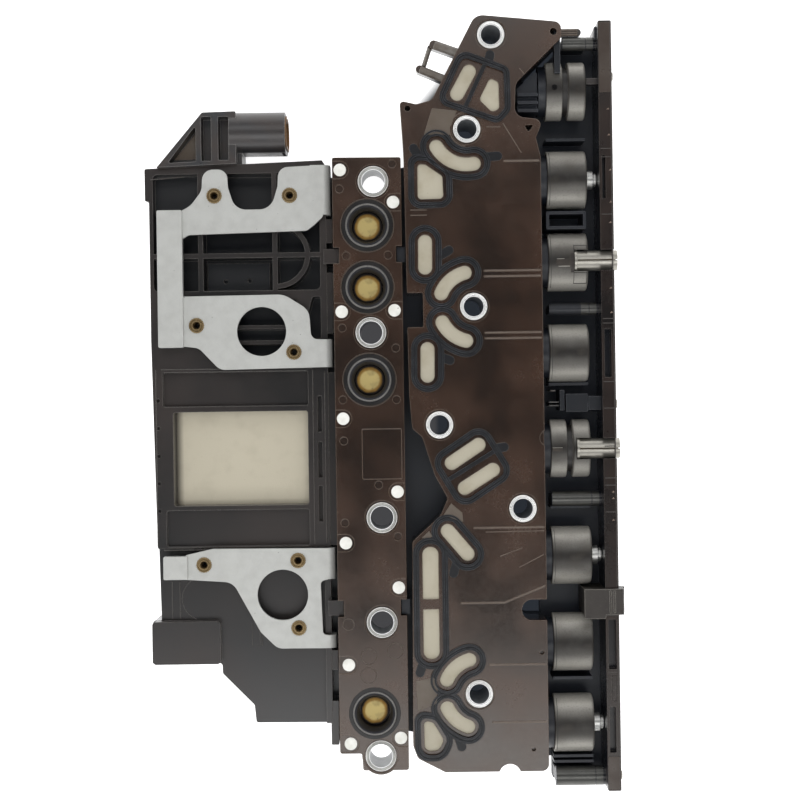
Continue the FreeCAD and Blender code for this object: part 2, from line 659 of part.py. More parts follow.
def make_can(number, y):
    """A drawn can, open to the manifold, with a hole for its stud."""
    piece = Piece(f"solenoid_can_{number + 1}")
    outer, length = value("can_radius"), value("can_length")
    inner = value("waist_radius - can_wall") if number in WAISTED else value("can_radius - can_wall")
    end, hole, corner = value("can_length - can_end"), value("stud_radius"), value("can_corner")
    profile = [(0, inner, 0), (end, inner, 0), (end, hole, 0), (length, hole, 0), (length, outer, corner)]
    if number in WAISTED:
        start, stop = value("waist_start"), value("waist_start + waist_width")
        waist = value("waist_radius")
        profile += [(stop, outer, 0.6), (stop, waist, 0.4), (start, waist, 0.4), (start, outer, 0.6)]
    profile.append((0, outer, 0.3))
    piece.turn(Corners(*profile))
    if number in PINNED:
        half = value("roll_pin_radius + pin_clearance")
        floor = value("roll_pin_height - roll_pin_radius - pin_clearance - solenoid_height")
        notch = box(-half, floor, half, outer + 1.0)
        piece.pocket([notch], "can_length", "can_length - coil_length", plane="YZ_Plane")
    piece.place(CAN_START, y, "solenoid_height")


def make_noses():
    """Moulded noses: a flange in the can's mouth and a plug in the manifold, bored for the stem."""
    piece = Piece("solenoid_noses")
    places = [(y, value("solenoid_height")) for y in SOLENOIDS]
    piece.pad(rounds(places, "nose_flange_radius"), "manifold_right", "nose_flange", plane="YZ_Plane")
    piece.pad(rounds(places, "nose_radius"), "manifold_right", "nose_length", plane="YZ_Plane", flip=True)
    guides = rounds(places, "guide_radius + guide_clearance")
    piece.pocket(guides, CAN_START, "nose_flange + nose_length - nose_end", plane="YZ_Plane")


def make_coils():
    piece = Piece("solenoid_coils")
    plain = [(y, value("solenoid_height")) for n, y in enumerate(SOLENOIDS) if n not in WAISTED]
    waisted = [(SOLENOIDS[n], value("solenoid_height")) for n in WAISTED]
    outlines = rounds(plain, "can_radius - can_wall") + rounds(waisted, "waist_radius - can_wall")
    outlines += rounds(plain + waisted, "armature_radius + armature_gap")
    piece.pad(outlines, CAN_START, "coil_length", plane="YZ_Plane")


def make_plunger(number, y):
    """An armature: a stem that runs in the nose and a head inside the winding."""
    piece = Piece(f"plunger_{number + 1}")
    stem, head = value("guide_radius"), value("armature_radius")
    shoulder = value("nose_flange + nose_length - nose_end")
    end = shoulder + value("coil_length - armature_travel - 2 * guide_clearance")
    profile = Corners(
        (0, 0, 0), (end, 0, 0), (end, head, 0.4), (shoulder, head, 0.4), (shoulder, stem, 0), (0, stem, 0.3),
    )
    piece.turn(profile)
    piece.place("manifold_right - nose_length + nose_end + guide_clearance", y, "solenoid_height")


def make_studs():
    """Adjuster studs, whose inner ends stop the armatures."""
    piece = Piece("adjuster_studs")
    height = value("solenoid_height")
    every = [(y, height) for y in SOLENOIDS]
    shown = [(SOLENOIDS[n], height) for n in STUDDED]
    piece.pad(rounds(every, "stud_radius"), COIL_STOP, "can_length - coil_length", plane="YZ_Plane")
    piece.pad(rounds(shown, "stud_radius"), CAN_STOP, "stud_reach", plane="YZ_Plane")
    piece.pad(rounds(shown, "stud_tip_radius"), f"{CAN_STOP} + stud_reach", "stud_tip", plane="YZ_Plane")


def make_roll_pins():
    """Slotted pins of rolled sheet, with the slot uppermost."""
    piece = Piece("roll_pins")
    wall, height = value("roll_pin_wall"), value("roll_pin_height")
    middle = value("roll_pin_radius - roll_pin_wall / 2")
    outlines = [Kidney((SOLENOIDS[n], height), middle, 100, 440, wall / 2) for n in PINNED]
    length = "can_length - coil_length - pin_clearance + frame_gap + frame_thickness + roll_pin_proud"
    piece.pad(outlines, f"{COIL_STOP} + pin_clearance", length, plane="YZ_Plane")


# Tray, frame, screws and latch


def make_tray():
    """Moulded floor under the solenoids with its ribs, brackets and spacer posts."""
    piece = Piece("solenoid_tray")
    left = value("manifold_right - cover_inset + tray_gap")
    start, stop, frame = value(CAN_START), value(CAN_STOP), value(FRAME_FACE)
    floor = Corners(
        (left, 113.6, 0.5), (55.2, 114.8, 1.0), (54.4, 117.0, 1.0), (54.5, 127.2, 1.0), (72.8, 145.4, 1.0),
        (72.9, 149.6, 1.0), (frame, 149.6, 0), (frame, -155.7, 0), (66.9, -155.7, 1.0), (66.9, -146.4, 0.5),
        (left, -146.4, 0.5),
    )
    piece.pad([floor], "0", "tray_floor")
    # Block behind the first solenoid, bored for its nose
    block = Corners(
        (54.8, 117.2, 0.8), (54.8, 127.0, 0.8), (61.4, 133.6, 0.8), (63.0, 133.6, 0), (63.0, 117.2, 0),
    )
    piece.pad([block], "tray_floor", "block_height - tray_floor")
    steps = [box(54.8, y, 63.0, y + 1.2) for y in (117.2, 120.4, 123.6)]
    piece.pad(steps, "block_height", "block_step")
    nose = [Round(SOLENOIDS[0], value("solenoid_height"), value("nose_radius"))]
    piece.pocket(nose, "manifold_right", "nose_length", plane="YZ_Plane")
    # Ribs between the solenoids
    ribs = [box(start, y, stop, y + 1.1) for y in (106.4, 7.0, -42.9, -112.6, -144.4, -146.6)]
    piece.pad(ribs, "tray_floor", "rib_height - tray_floor")
    # Open box between the second and third solenoids, and the terminal block beside the fifth
    open_box = [box(65.9, 70.2, 82.0, 77.4, 0.5), box(67.1, 71.4, 80.8, 76.2, 0.3)]
    piece.pad(open_box, "tray_floor", "box_height - tray_floor")
    piece.pad([box(73.2, -3.6, 81.8, 3.4, 0.5)], "tray_floor", "terminal_height - tray_floor")
    piece.pad([box(81.0, -3.2, frame, 2.6)], "tray_floor", "tongue_height - tray_floor")
    # Spacer posts, each on a web
    split = value(POST_JOINT)
    webs = [box(value("manifold_right") + x, y - 0.6 * r, split, y + 0.6 * r) for y, r, x in POSTS]
    piece.pad(webs, "tray_floor", "web_height - tray_floor")
    for y, radius, offset in POSTS:
        outline = [Round(y, value("post_height"), radius)]
        length = f"{POST_JOINT} - manifold_right - {offset}"
        piece.pad(outline, f"manifold_right + {offset}", length, plane="YZ_Plane")


def make_frame():
    """Bar that closes the solenoid row, with its halves of the spacer posts."""
    piece = Piece("retainer_frame")
    face, back = value(FRAME_FACE), value(FRAME_BACK)
    piece.pad([box(face, -156.4, back, 153.5, 0.6)], "0", "frame_height")
    for y, radius, _ in POSTS:
        outline = [Round(y, value("post_height"), radius)]
        piece.pad(outline, POST_JOINT, "frame_gap - post_split", plane="YZ_Plane")
    slots = ((99.4, 81.8, 1.4), (29.6, 10.0, 2.8), (-87.4, -107.4, 3.2), (-122.6, -141.0, 2.6))
    recesses = [box(face + 1.0, low, face + 1.0 + width, high, 0.5) for low, high, width in slots]
    piece.pocket(recesses, "frame_height", "frame_recess")
    panel, groove = box(face + 2.0, -109.6, back - 1.2, -120.4, 0.4), value("panel_groove")
    piece.trench([panel], "frame_height", "panel_groove", 0.0, -groove)
    height, radius = value("roll_pin_height"), value("roll_pin_radius")
    saddles = [Slot((SOLENOIDS[n], height), (SOLENOIDS[n], height + 12.0), radius) for n in PINNED]
    piece.pocket(saddles, FRAME_BACK, "frame_thickness", plane="YZ_Plane")
    screws = rounds([(y, value("post_height")) for y in SCREWS], "screw_radius")
    piece.pocket(screws, FRAME_BACK, "screw_length", plane="YZ_Plane")


def make_frame_screws():
    piece = Piece("frame_screws")
    places = [(y, value("post_height")) for y in SCREWS]
    piece.pad(rounds(places, "screw_radius"), FRAME_BACK, "screw_length", plane="YZ_Plane", flip=True)
    piece.pad(rounds(places, "screw_head"), FRAME_BACK, "screw_head_height", plane="YZ_Plane")


def make_latch():
    """Clip that stands on the tray, bridges the frame and hooks down its outer face."""
    piece = Piece("frame_latch")
    face, back, wall = value(FRAME_FACE), value(FRAME_BACK), value("latch_wall")
    base, under, barb = value("tray_floor"), value("frame_height"), value("latch_barb")
    foot, hook = face - value("latch_reach"), value("latch_hook_foot")
    shoulder = hook + value("latch_hook_rise")
    profile = Corners(
        (foot, base, 0.4), (face, base, 0), (face, under, 0), (back, under, 0), (back, hook, 0),
        (back + 0.8, hook, 0), (back + wall + barb, shoulder, 0.3), (back + wall, shoulder + 0.2, 0),
        (back + wall, under + wall, 1.2), (foot, under + wall, 0.8),
    )
    drawn = piece.sketch([profile.edges()], "latch_start", "XZ_Plane")
    piece.feature("Pad", drawn, "latch_width")
    # Wide head, the grooves over the frame, and the gap between the hook's two lugs
    near, far = -value("latch_start"), -value("latch_start + latch_width")
    head = box(foot, near, face, far - value("latch_overhang"), 0.6)
    piece.pad([head], "frame_height + latch_wall - latch_head", "latch_head")
    groove = value("latch_groove")
    grooves = [box(face + offset, far + 0.8, face + offset + groove, near - 0.8) for offset in (1.6, 3.2)]
    piece.pocket(grooves, "frame_height + latch_wall", "latch_groove")
    lug = value("latch_width / 3")
    gap = box(back + wall, far + lug, back + wall + barb + 1.0, near - lug)
    piece.pocket([gap], "frame_height", "frame_height")


# Switch strip


def pin_seat(x, y):
    """Sunk seat round a pin, which runs out through the nearer side of the strip."""
    left, right = value("carrier_left"), value(CARRIER_RIGHT)
    outside = left - 5.0 if x - left < right - x else right + 5.0
    return Slot((x, y), (outside, y), value("pin_seat_radius"))


def make_carrier():
    """Strip that carries the pressure switches, with its notches, seats and dimples."""
    piece = Piece("switch_carrier")
    left, right, notch = value("carrier_left"), value(CARRIER_RIGHT), value("carrier_notch")
    corners = [(left, 99.6, 0.8), (right, 99.4, 0.8)]
    for low, high in RIGHT_NOTCHES:
        corners += [(x, high, 0.2) for x in (right, right - notch)]
        corners += [(x, low, 0.2) for x in (right - notch, right)]
    corners += [(right, -146.4, 1.0), (-11.0, -146.4, 1.0), (-11.3, -139.6, 1.0), (left, -139.6, 1.0)]
    for low, high in reversed(LEFT_NOTCHES):
        corners += [(x, low, 0.2) for x in (left, left + notch)]
        corners += [(x, high, 0.2) for x in (left + notch, left)]
    outline = Corners(*corners)
    piece.pad([outline], "cover_depth", "carrier_depth")
    piece.pad([Round(*CARRIER_SLEEVES[-1], value("carrier_boss"))], "cover_depth", "carrier_depth")
    piece.pocket(rounds(CARRIER_SLEEVES, "carrier_sleeve_radius"), CARRIER_TOP, "carrier_depth")
    reliefs = rounds(CARRIER_SLEEVES, "carrier_sleeve_radius + sleeve_relief")
    piece.pocket(reliefs, CARRIER_TOP, "sleeve_relief")
    piece.pocket([pin_seat(x, y) for x, y in PINS], CARRIER_TOP, "pin_seat_depth")
    piece.pocket(rounds(SWITCHES, "well_radius"), CARRIER_TOP, "well_depth")
    piece.pocket(rounds(SWITCHES, "lip_radius"), CARRIER_TOP, "lip_depth")
    piece.pocket(rounds(PINS, "pin_radius"), CARRIER_TOP, "pin_length")
    piece.pocket(rounds(MARKS, "mark_radius"), CARRIER_TOP, "mark_depth")
    piece.pocket([box(-9.6, -29.6, 6.2, -9.5, 0.5)], CARRIER_TOP, "line_height")


def make_switch_seal(number, place):
    """Rubber cup with a flared mouth and a lip in the strip's face."""
    piece = Piece(f"switch_seal_{number + 1}")
    wall, lip, cup = value("well_radius"), value("lip_radius"), value("cup_radius")
    depth, top = value("well_depth"), value("well_depth + lip_proud")
    seat = value("well_depth - lip_depth")
    flare = value("cup_flare")
    profile = Corners(
        (cup, 0, 0), (wall, 0, 0), (wall, seat, 0), (lip, seat, 0), (lip, depth, 0.2),
        (wall + 0.2, top, 0.5), (wall - 0.8, top, 0.5), (cup, top - flare, 1.0),
    )
    piece.turn(profile, plane="XZ_Plane", axis="V_Axis")
    piece.place(*place, WELL_FLOOR)


def make_switch_disc(number, place):
    piece = Piece(f"switch_disc_{number + 1}")
    piece.pad([Round(0, 0, value("disc_radius"))], "0", "disc_thickness")
    piece.place(*place, f"{WELL_FLOOR} + disc_rest")


# Control unit

TOP_LEFT, TOP_RIGHT = (-96.5, 97.0), (-24.5, 99.6)


def top_edge(x):
    """Place of the housing's slanting upper edge."""
    return TOP_LEFT[1] + (TOP_RIGHT[1] - TOP_LEFT[1]) * (x - TOP_LEFT[0]) / (TOP_RIGHT[0] - TOP_LEFT[0])


def housing_outline():
    right = value("housing_wall_right")
    return Corners(
        (*TOP_LEFT, 0.8), (*TOP_RIGHT, 0.5), (right, 97.5, 0.3), (right, -128.7, 1.0), (-54.4, -128.5, 1.0),
        (-55.1, -121.3, 1.0), (-67.8, -108.4, 1.0), (-68.0, -104.2, 1.0), (-96.0, -104.1, 1.5),
        (-96.0, -86.5, 1.0), (-92.4, -86.4, 0.5), (-93.5, -37.0, 1.0), (-94.7, 27.0, 1.0),
        (-94.8, 83.6, 0.5), (-96.4, 84.0, 0.5),
    )


def raised_outline():
    """The part of the deck whose walls stand higher."""
    right = value("housing_wall_right")
    return Corners(
        (*TOP_LEFT, 0.8), (*TOP_RIGHT, 0.5), (right, 97.5, 0.3), (right, -57.0, 0.5), (-93.1, -57.0, 0.5),
        (-93.5, -37.0, 1.0), (-94.7, 27.0, 1.0), (-94.8, 83.6, 0.5), (-96.4, 84.0, 0.5),
    )


def compartment_ribs():
    """Ribs of the upper compartments, in passes that don't meet."""
    half = value("rib_width / 2")
    upright = [box(x - half, 46.0, x + half, 95.0) for x in (-74.1, -44.0)]
    level = [box(-93.6, 61.4 - half, -25.6, 61.4 + half), box(-75.0, 78.4 - half, -44.5, 78.4 + half)]
    bow = [Kidney((-43.4, 61.4), 12.6, -86, 86, half)]
    return upright, level, bow


def make_housing():
    piece = Piece("control_housing")
    left, right = -93.2, value("housing_wall_right")
    strip_left = value("carrier_left")
    piece.pad([housing_outline()], "base_thickness", "deck_height - base_thickness")
    piece.pad([raised_outline(), box(-95.9, -104.0, -68.2, -86.6, 1.5)], "deck_height", "wall_rise")
    # Right rim, outer strip, and the ledge and tabs for the switch strip
    piece.pad([box(right - 2.4, -128.5, right, -56.0)], "deck_height", "wall_rise")
    flank = box(right - 1.0, -56.4, strip_left - value("tray_gap"), 13.6)
    piece.pad([flank], "base_thickness", "flank_height - base_thickness")
    seat = value("carrier_left + carrier_seat")
    piece.pad([box(right - 1.0, -138.0, seat, 94.0)], "base_thickness", "cover_depth - base_thickness")
    gap, notch = value("notch_clearance"), value("carrier_notch")
    tabs = [box(right - 1.0, low + gap, strip_left + notch - gap, high - gap) for low, high in LEFT_NOTCHES]
    piece.pad(tabs, "cover_depth", "notch_tab")
    edge = strip_left - value("clip_gap")
    places = ((66.0, 75.6), (29.4, 54.0), (-107.0, -99.0), (-137.4, -119.6))
    clips = [box(right - 0.6, low, edge, high, 0.4) for low, high in places]
    piece.pad(clips, "cover_depth", "clip_height - cover_depth")
    # Compartments and their ribs
    corner_bay = Corners((-33.8, 27.4, 1), (-25.8, 27.4, 1), (-25.8, 44.4, 1), (-29.0, 44.4, 1))
    bays = [box(left, 47.2, right - 2.6, 94.6, 2.0), box(-64.0, 18.6, -35.4, 43.4, 1.0), corner_bay]
    piece.pocket(bays, WALL_TOP, "compartment_depth")
    for outlines in compartment_ribs():
        piece.pad(outlines, COMPARTMENT_FLOOR, "compartment_depth")
    piece.pad([box(left - 0.4, 79.0, -75.0, 95.0)], COMPARTMENT_FLOOR, "bay_block")
    piece.pad([box(-72.2, 47.0, -46.8, 59.0)], COMPARTMENT_FLOOR, "bay_step")
    shelves = [box(-64.2, y, -35.2, y + 1.6) for y in (25.4, 31.6)]
    piece.pad(shelves, COMPARTMENT_FLOOR, "shelf_height")
    drains = rounds(((-64.9, 51.5), (-55.2, 51.8)), "drain_radius")
    piece.pocket(drains, f"{COMPARTMENT_FLOOR} + bay_step", "drain_depth")
    # Cavity for the board, the window, the recesses above and below it, and the rails beside it
    recesses = [box(-90.3, 0.4, -31.4, 14.4, 1.0), box(-89.4, -56.4, -31.5, -41.6, 1.0)]
    piece.pocket(recesses, WALL_TOP, "window_recess")
    cavity_depth = "heat_plate_top - base_thickness"
    piece.pocket([box(-88.8, -53.4, -31.0, 11.4, 1.0)], "base_thickness", cavity_depth, flip=True)
    piece.pocket([box(-86.2, -39.8, -31.6, -1.8, 1.0)], WALL_TOP, f"{WALL_TOP} - heat_plate_top")
    holes = [(-92.2, y) for y in (3.0, -8.2, -19.5, -30.6, -41.7)]
    piece.pocket(rounds(holes, "rail_hole_radius"), WALL_TOP, "rail_hole_depth")
    piece.pocket([box(-27.6, y - 14.6, -25.9, y, 0.3) for y in (4.1, -14.5, -32.3)], WALL_TOP, "wall_rise")
    # Bosses for the inserts
    inserts = UPPER_INSERTS + LOWER_INSERTS
    piece.pad(rounds(inserts, "boss_radius"), COMPARTMENT_FLOOR, "compartment_depth + bracket_gap")
    piece.pocket(rounds(inserts, "insert_radius"), BRACKET_UNDERSIDE, "insert_length - bracket_thickness")


def make_base_plate():
    """Aluminium plate under the housing, with the pillars that carry the board."""
    piece = Piece("base_plate")
    piece.pad([Grown(housing_outline(), -value("base_inset"))], "0", "base_thickness")
    pillars = [Round(x, y, 3.0) for x in (-84.0, -36.0) for y in (-48.0, 6.0)]
    piece.pad(pillars, "base_thickness", "board_height - base_thickness")


def make_board():
    """Circuit board with its power stage, which touches the plate above it."""
    piece = Piece("circuit_board")
    piece.pad([box(-88.0, -52.6, -31.8, 10.6)], "board_height", "board_thickness")
    stage = "heat_plate_top - heat_plate_thickness - board_height - board_thickness"
    piece.pad([box(-72.0, -32.0, -46.0, -10.0)], "board_height + board_thickness", stage)


def make_heat_plate():
    """Cream plate behind the housing's window."""
    piece = Piece("heat_plate")
    plate = box(-88.4, -43.0, -31.2, 1.4)
    piece.pad([plate], "heat_plate_top - heat_plate_thickness", "heat_plate_thickness")


# Brackets, inserts and connector


def bracket_bend(piece, low, high):
    """Right edge of a bracket, bent down against the housing between two places along it."""
    face, inside = value("housing_wall_right"), value("bend_radius")
    sheet_top, under = value(BRACKET_TOP), value(BRACKET_UNDERSIDE)
    outer = inside + value("bracket_thickness")
    outside, foot = face + value("bracket_thickness"), under - value("bracket_drop")
    profile = Corners(
        (face - 6.0, sheet_top, 0), (outside, sheet_top, outer), (outside, foot, 0), (face, foot, 0),
        (face, under, inside), (face - 6.0, under, 0),
    )
    drawn = piece.sketch([profile.edges()], str(-high), "XZ_Plane")
    piece.feature("Pad", drawn, str(round(high - low, 3)))


def make_upper_bracket():
    piece = Piece("upper_bracket")
    edge = value("housing_wall_right - bend_radius")
    upper = Corners(
        (-81.4, 79.4, 0), (-77.6, 81.4, 9.0), (-73.0, 87.4, 6.0), (-72.6, 95.9, 4.6), (-62.8, 95.9, 4.6),
        (-62.4, 88.6, 3.0), (-59.6, 79.6, 8.0), (-45.2, 79.6, 8.0), (-42.4, 88.8, 4.0), (-42.0, 96.4, 6.0),
        (edge, 97.2, 0), (edge, 76.4, 1.5), (-28.0, 72.9, 3.0), (-30.8, 70.8, 3.0), (-78.4, 69.7, 2.0),
        (-81.4, 68.0, 0),
    )
    lower = Corners(
        (-81.4, 44.9, 0), (-40.4, 45.2, 9.0), (-30.4, 38.8, 6.0), (-29.6, 27.0, 5.0), (edge, 26.9, 0),
        (edge, 15.7, 0), (-66.6, 15.1, 5.0), (-75.0, 24.0, 5.0), (-81.4, 24.8, 0),
    )
    piece.pad([upper, lower], BRACKET_UNDERSIDE, "bracket_thickness")
    piece.pad([box(-91.1, 24.3, -81.0, 79.6, 0.6)], BRACKET_UNDERSIDE, "2 * bracket_thickness")
    piece.pocket(rounds(UPPER_INSERTS, "insert_radius"), BRACKET_TOP, "bracket_thickness")
    piece.pocket([Round(-49.6, 30.4, 9.9)], BRACKET_TOP, "bracket_thickness")
    bracket_bend(piece, 77.2, 97.2)
    bracket_bend(piece, 15.7, 26.9)


def make_lower_bracket():
    piece = Piece("lower_bracket")
    edge = value("housing_wall_right - bend_radius")
    outline = Corners(
        (-81.4, -59.4, 0), (-70.6, -57.0, 8.0), (edge, -57.3, 0), (edge, -69.9, 0), (-27.2, -70.6, 2.0),
        (-26.5, -92.0, 2.0), (edge, -92.4, 0), (edge, -97.6, 0), (-44.8, -97.5, 5.0), (-51.6, -90.8, 4.0),
        (-62.6, -70.6, 6.0), (-81.4, -69.3, 0),
    )
    piece.pad([outline], BRACKET_UNDERSIDE, "bracket_thickness")
    piece.pad([box(-90.3, -69.1, -80.6, -59.8, 0.6)], BRACKET_UNDERSIDE, "2 * bracket_thickness")
    piece.pocket(rounds(LOWER_INSERTS, "insert_radius"), BRACKET_TOP, "bracket_thickness")
    piece.pocket([Round(-42.5, -75.9, 10.2)], BRACKET_TOP, "bracket_thickness")
    bracket_bend(piece, -69.8, -57.3)
    bracket_bend(piece, -97.6, -92.4)


def make_inserts():
    """Brass inserts with a flange on the bracket."""
    piece = Piece("threaded_inserts")
    places = UPPER_INSERTS + LOWER_INSERTS
    piece.pad(rounds(places, "insert_radius"), f"{BRACKET_TOP} - insert_length", "insert_length")
    piece.pad(rounds(places, "insert_flange"), BRACKET_TOP, "insert_proud")
    flange_top = f"{BRACKET_TOP} + insert_proud"
    piece.pocket(rounds(places, "insert_bore"), flange_top, "insert_length + insert_proud")


CONTACTS_IN_ROW = 8


def barrel_section(inset):
    """Upright obround of the barrel, shrunk by an inset, in the plane across its axis."""
    y, radius = value("barrel_axis"), value("barrel_width / 2")
    low = value("base_thickness + barrel_width / 2")
    high = value("base_thickness + barrel_height - barrel_width / 2")
    return Slot((y, low), (y, high), radius - inset)


def make_connector():
    """Arm beside the housing's upper edge, and the barrel that it carries."""
    piece = Piece("connector_shell")
    left, right = -91.2, -59.0
    root_left, root_right = (left, top_edge(left), 0), (right, top_edge(right), 0)
    arm = Corners(root_left, root_right, (right, 119.5, 0.5), (-72.6, 119.2, 1.5))
    piece.pad([arm], "base_thickness", "arm_floor + arm_rise - base_thickness")
    wall = value("barrel_wall")
    near, far = -75.2, -86.6
    bays = [
        Corners((far, top_edge(far) + wall, 0.5), (near, top_edge(near) + wall, 0.5), (near, 114.0, 0.5)),
        box(-73.0, top_edge(-69.0) + wall, -69.0, 117.4, 0.5),
        box(-66.1, top_edge(-62.0) + wall, -62.0, 117.4, 0.5),
    ]
    piece.pocket(bays, "arm_floor + arm_rise", "arm_rise")
    piece.pad([box(-59.4, top_edge(-57.0), -57.0, 104.6)], "base_thickness", "arm_floor")
    piece.pad([barrel_section(0)], "barrel_mouth", "barrel_length", plane="YZ_Plane", flip=True)
    piece.pocket([barrel_section(wall)], "barrel_mouth", "socket_depth", plane="YZ_Plane")


def make_contacts():
    """Two rows of contacts on the socket's floor."""
    piece = Piece("connector_pins")
    pitch, rows, half = value("contact_pitch"), value("contact_rows"), value("contact_size / 2")
    middle_y, middle_z = value("barrel_axis"), value("base_thickness + barrel_height / 2")
    outlines = []
    for row_offset in (-rows / 2, rows / 2):
        for step in range(CONTACTS_IN_ROW):
            y, z = middle_y + row_offset, middle_z + (step - (CONTACTS_IN_ROW - 1) / 2) * pitch
            outlines.append(box(y - half, z - half, y + half, z + half))
    piece.pad(outlines, SOCKET_FLOOR, "contact_length", plane="YZ_Plane")


def make_connector_seal():
    """Seal that lines the barrel's mouth and stands a little proud of it."""
    piece = Piece("connector_seal")
    wall = value("barrel_wall")
    outlines = [barrel_section(wall), barrel_section(wall + value("connector_seal_wall"))]
    length = "connector_seal_length + connector_seal_proud"
    piece.pad(outlines, "barrel_mouth - connector_seal_length", length, plane="YZ_Plane")


# Assembly


def make_all():
    make_manifold()
    make_lower_cover()
    make_screens()
    for number, (names, tabs) in enumerate(GASKETS, start=1):
        make_gasket(number, names, tabs)
    sleeve_length = f"{PORT_FACE} + sleeve_proud"
    make_tubes("manifold_sleeves", SLEEVES, "sleeve_radius", "sleeve_bore", "0", sleeve_length)
    for number, y in enumerate(SOLENOIDS):
        make_can(number, y)
        make_plunger(number, y)
    make_noses()
    make_coils()
    make_studs()
    make_roll_pins()
    make_tray()
    make_frame()
    make_frame_screws()
    make_latch()
    make_carrier()
    make_tubes(
        "carrier_sleeves", CARRIER_SLEEVES, "carrier_sleeve_radius", "carrier_sleeve_bore",
        "cover_depth", "carrier_depth + sleeve_proud",
    )
    pins = Piece("carrier_pins")
    pins.pad(rounds(PINS, "pin_radius"), f"{CARRIER_TOP} - pin_length", "pin_length + pin_proud")
    for number, place in enumerate(SWITCHES):
        make_switch_seal(number, place)
        make_switch_disc(number, place)
    make_housing()
    make_base_plate()
    make_board()
    make_heat_plate()
    make_upper_bracket()
    make_lower_bracket()
    make_inserts()
    make_connector()
    make_contacts()
    make_connector_seal()


def write_parts():
    """Checks every object, then writes one file for each piece."""
    doc.recompute()
    for item in doc.Objects:
        if "Invalid" in item.State or "Error" in item.State:
            raise RuntimeError(f"{item.Label} failed: {item.State}")
    for part in parts:
        if part.Shape.isNull() or not part.Shape.isValid() or not part.Shape.Solids:
            raise RuntimeError(f"{part.Label} has no valid solid")
    os.makedirs("parts", exist_ok=True)
    for part in parts:
        part.Shape.exportStep(f"parts/{part.Label}.step")
        print(f"{part.Label}: {len(part.Shape.Solids)} solids, {part.Shape.Volume:.0f} mm3")


make_all()
write_parts()
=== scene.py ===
"""Looks of a transmission's combined control module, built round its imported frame.

The module lies with its valve-body side up. X runs across it towards the solenoids, Y along
it towards the connector's end, and Z up from the bench. Blender works in metres, and the
sizes in this file are millimetres, which the meshes' makers turn into metres.
"""

import logging
import math
from dataclasses import dataclass, replace
from enum import Enum
from typing import Dict, List, Optional, Protocol, Sequence, Tuple, Union

import bmesh
import bpy
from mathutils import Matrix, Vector

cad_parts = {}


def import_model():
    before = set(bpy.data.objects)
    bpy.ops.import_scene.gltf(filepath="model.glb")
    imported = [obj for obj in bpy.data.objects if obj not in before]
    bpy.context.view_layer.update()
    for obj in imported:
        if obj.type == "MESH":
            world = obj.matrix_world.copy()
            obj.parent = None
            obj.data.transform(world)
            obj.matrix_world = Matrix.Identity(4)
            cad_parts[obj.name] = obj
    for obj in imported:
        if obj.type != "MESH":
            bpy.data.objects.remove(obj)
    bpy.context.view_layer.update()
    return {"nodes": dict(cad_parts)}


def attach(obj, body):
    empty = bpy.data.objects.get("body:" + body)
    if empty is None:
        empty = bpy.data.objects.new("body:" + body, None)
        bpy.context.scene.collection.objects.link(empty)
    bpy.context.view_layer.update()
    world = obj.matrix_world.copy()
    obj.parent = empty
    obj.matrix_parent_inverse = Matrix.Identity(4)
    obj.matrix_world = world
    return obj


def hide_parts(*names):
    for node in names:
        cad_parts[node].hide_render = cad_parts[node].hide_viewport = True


LOG = logging.getLogger("control_module")
MILLIMETRE = 0.001

WHITE_LIGHT = (1.0, 1.0, 1.0, 1.0)

Colour = Tuple[float, float, float, float]
Place = Tuple[float, float]
Point = Tuple[float, float, float]
Ring = Sequence[bmesh.types.BMVert]

# Where a mask starts to rise, and how much further the number goes until it is 1
Mask = Tuple[float, float]

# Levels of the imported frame, in millimetres above the bench
PORT_FACE = 36.0
STRIP_TOP = 34.0
FRAME_TOP = 32.0
BRACKET_TOP = 30.0
PIN_AXIS = 27.0
WALL_TOP = 26.0
SOLENOID_AXIS = 19.0

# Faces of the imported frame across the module, in millimetres
CAN_START, CAN_STOP = 66.5, 82.5
FRAME_FACE, FRAME_BACK = 87.3, 92.7

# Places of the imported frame's features, in millimetres
SLEEVES = ((44.1, 147.6), (34.0, 110.0), (35.8, 39.0), (21.5, -8.2), (54.4, -42.1), (35.9, -116.0))
STRIP_SLEEVES = ((-3.8, 89.8), (-5.5, 29.2), (-2.1, -45.1), (-2.6, -87.1), (-3.8, -140.6))
SWITCHES = ((-6.4, 72.2), (-6.6, 47.4), (-6.3, 10.3), (-6.0, -123.5))
INSERTS = (
    (-68.0, 85.3), (-37.6, 85.1), (-75.8, 33.1), (-36.7, 21.9),
    (-74.1, -63.4), (-36.2, -62.1), (-36.2, -89.3),
)
PLATE_CORNER = (-86.5, -40.2)

# Middles of the solenoids along the module, and which of them, from 0, have a waist, pin or stud
SOLENOIDS = (126.9, 90.7, 57.3, 20.2, -18.6, -62.2, -97.5, -130.5)
WAISTED = (0, 4)
PINNED = (2, 4)
STUDDED = (1, 5, 7)

# How far trim reaches into the surface that carries it, in millimetres
BITE = 0.05
DEEP_BITE = 0.1

# Edges that turn by more degrees than this stay sharp
SMOOTH_ANGLE = 40.0

# Points of a mesh that lie closer together than this many metres become one
WELD_DISTANCE = 1e-6


def tone(red: float, green: float, blue: float) -> Colour:
    """Turns a colour as seen on a screen, 0 to 255, into the linear colour that shaders take.

    Args:
        red: red share as seen.
        green: green share as seen.
        blue: blue share as seen.

    Returns:
        The linear colour with full alpha.
    """

    def linear(share: float) -> float:
        """One channel of the colour."""
        part = share / 255
        return part / 12.92 if part <= 0.04045 else ((part + 0.055) / 1.055) ** 2.4

    return (linear(red), linear(green), linear(blue), 1.0)


# Shader maths


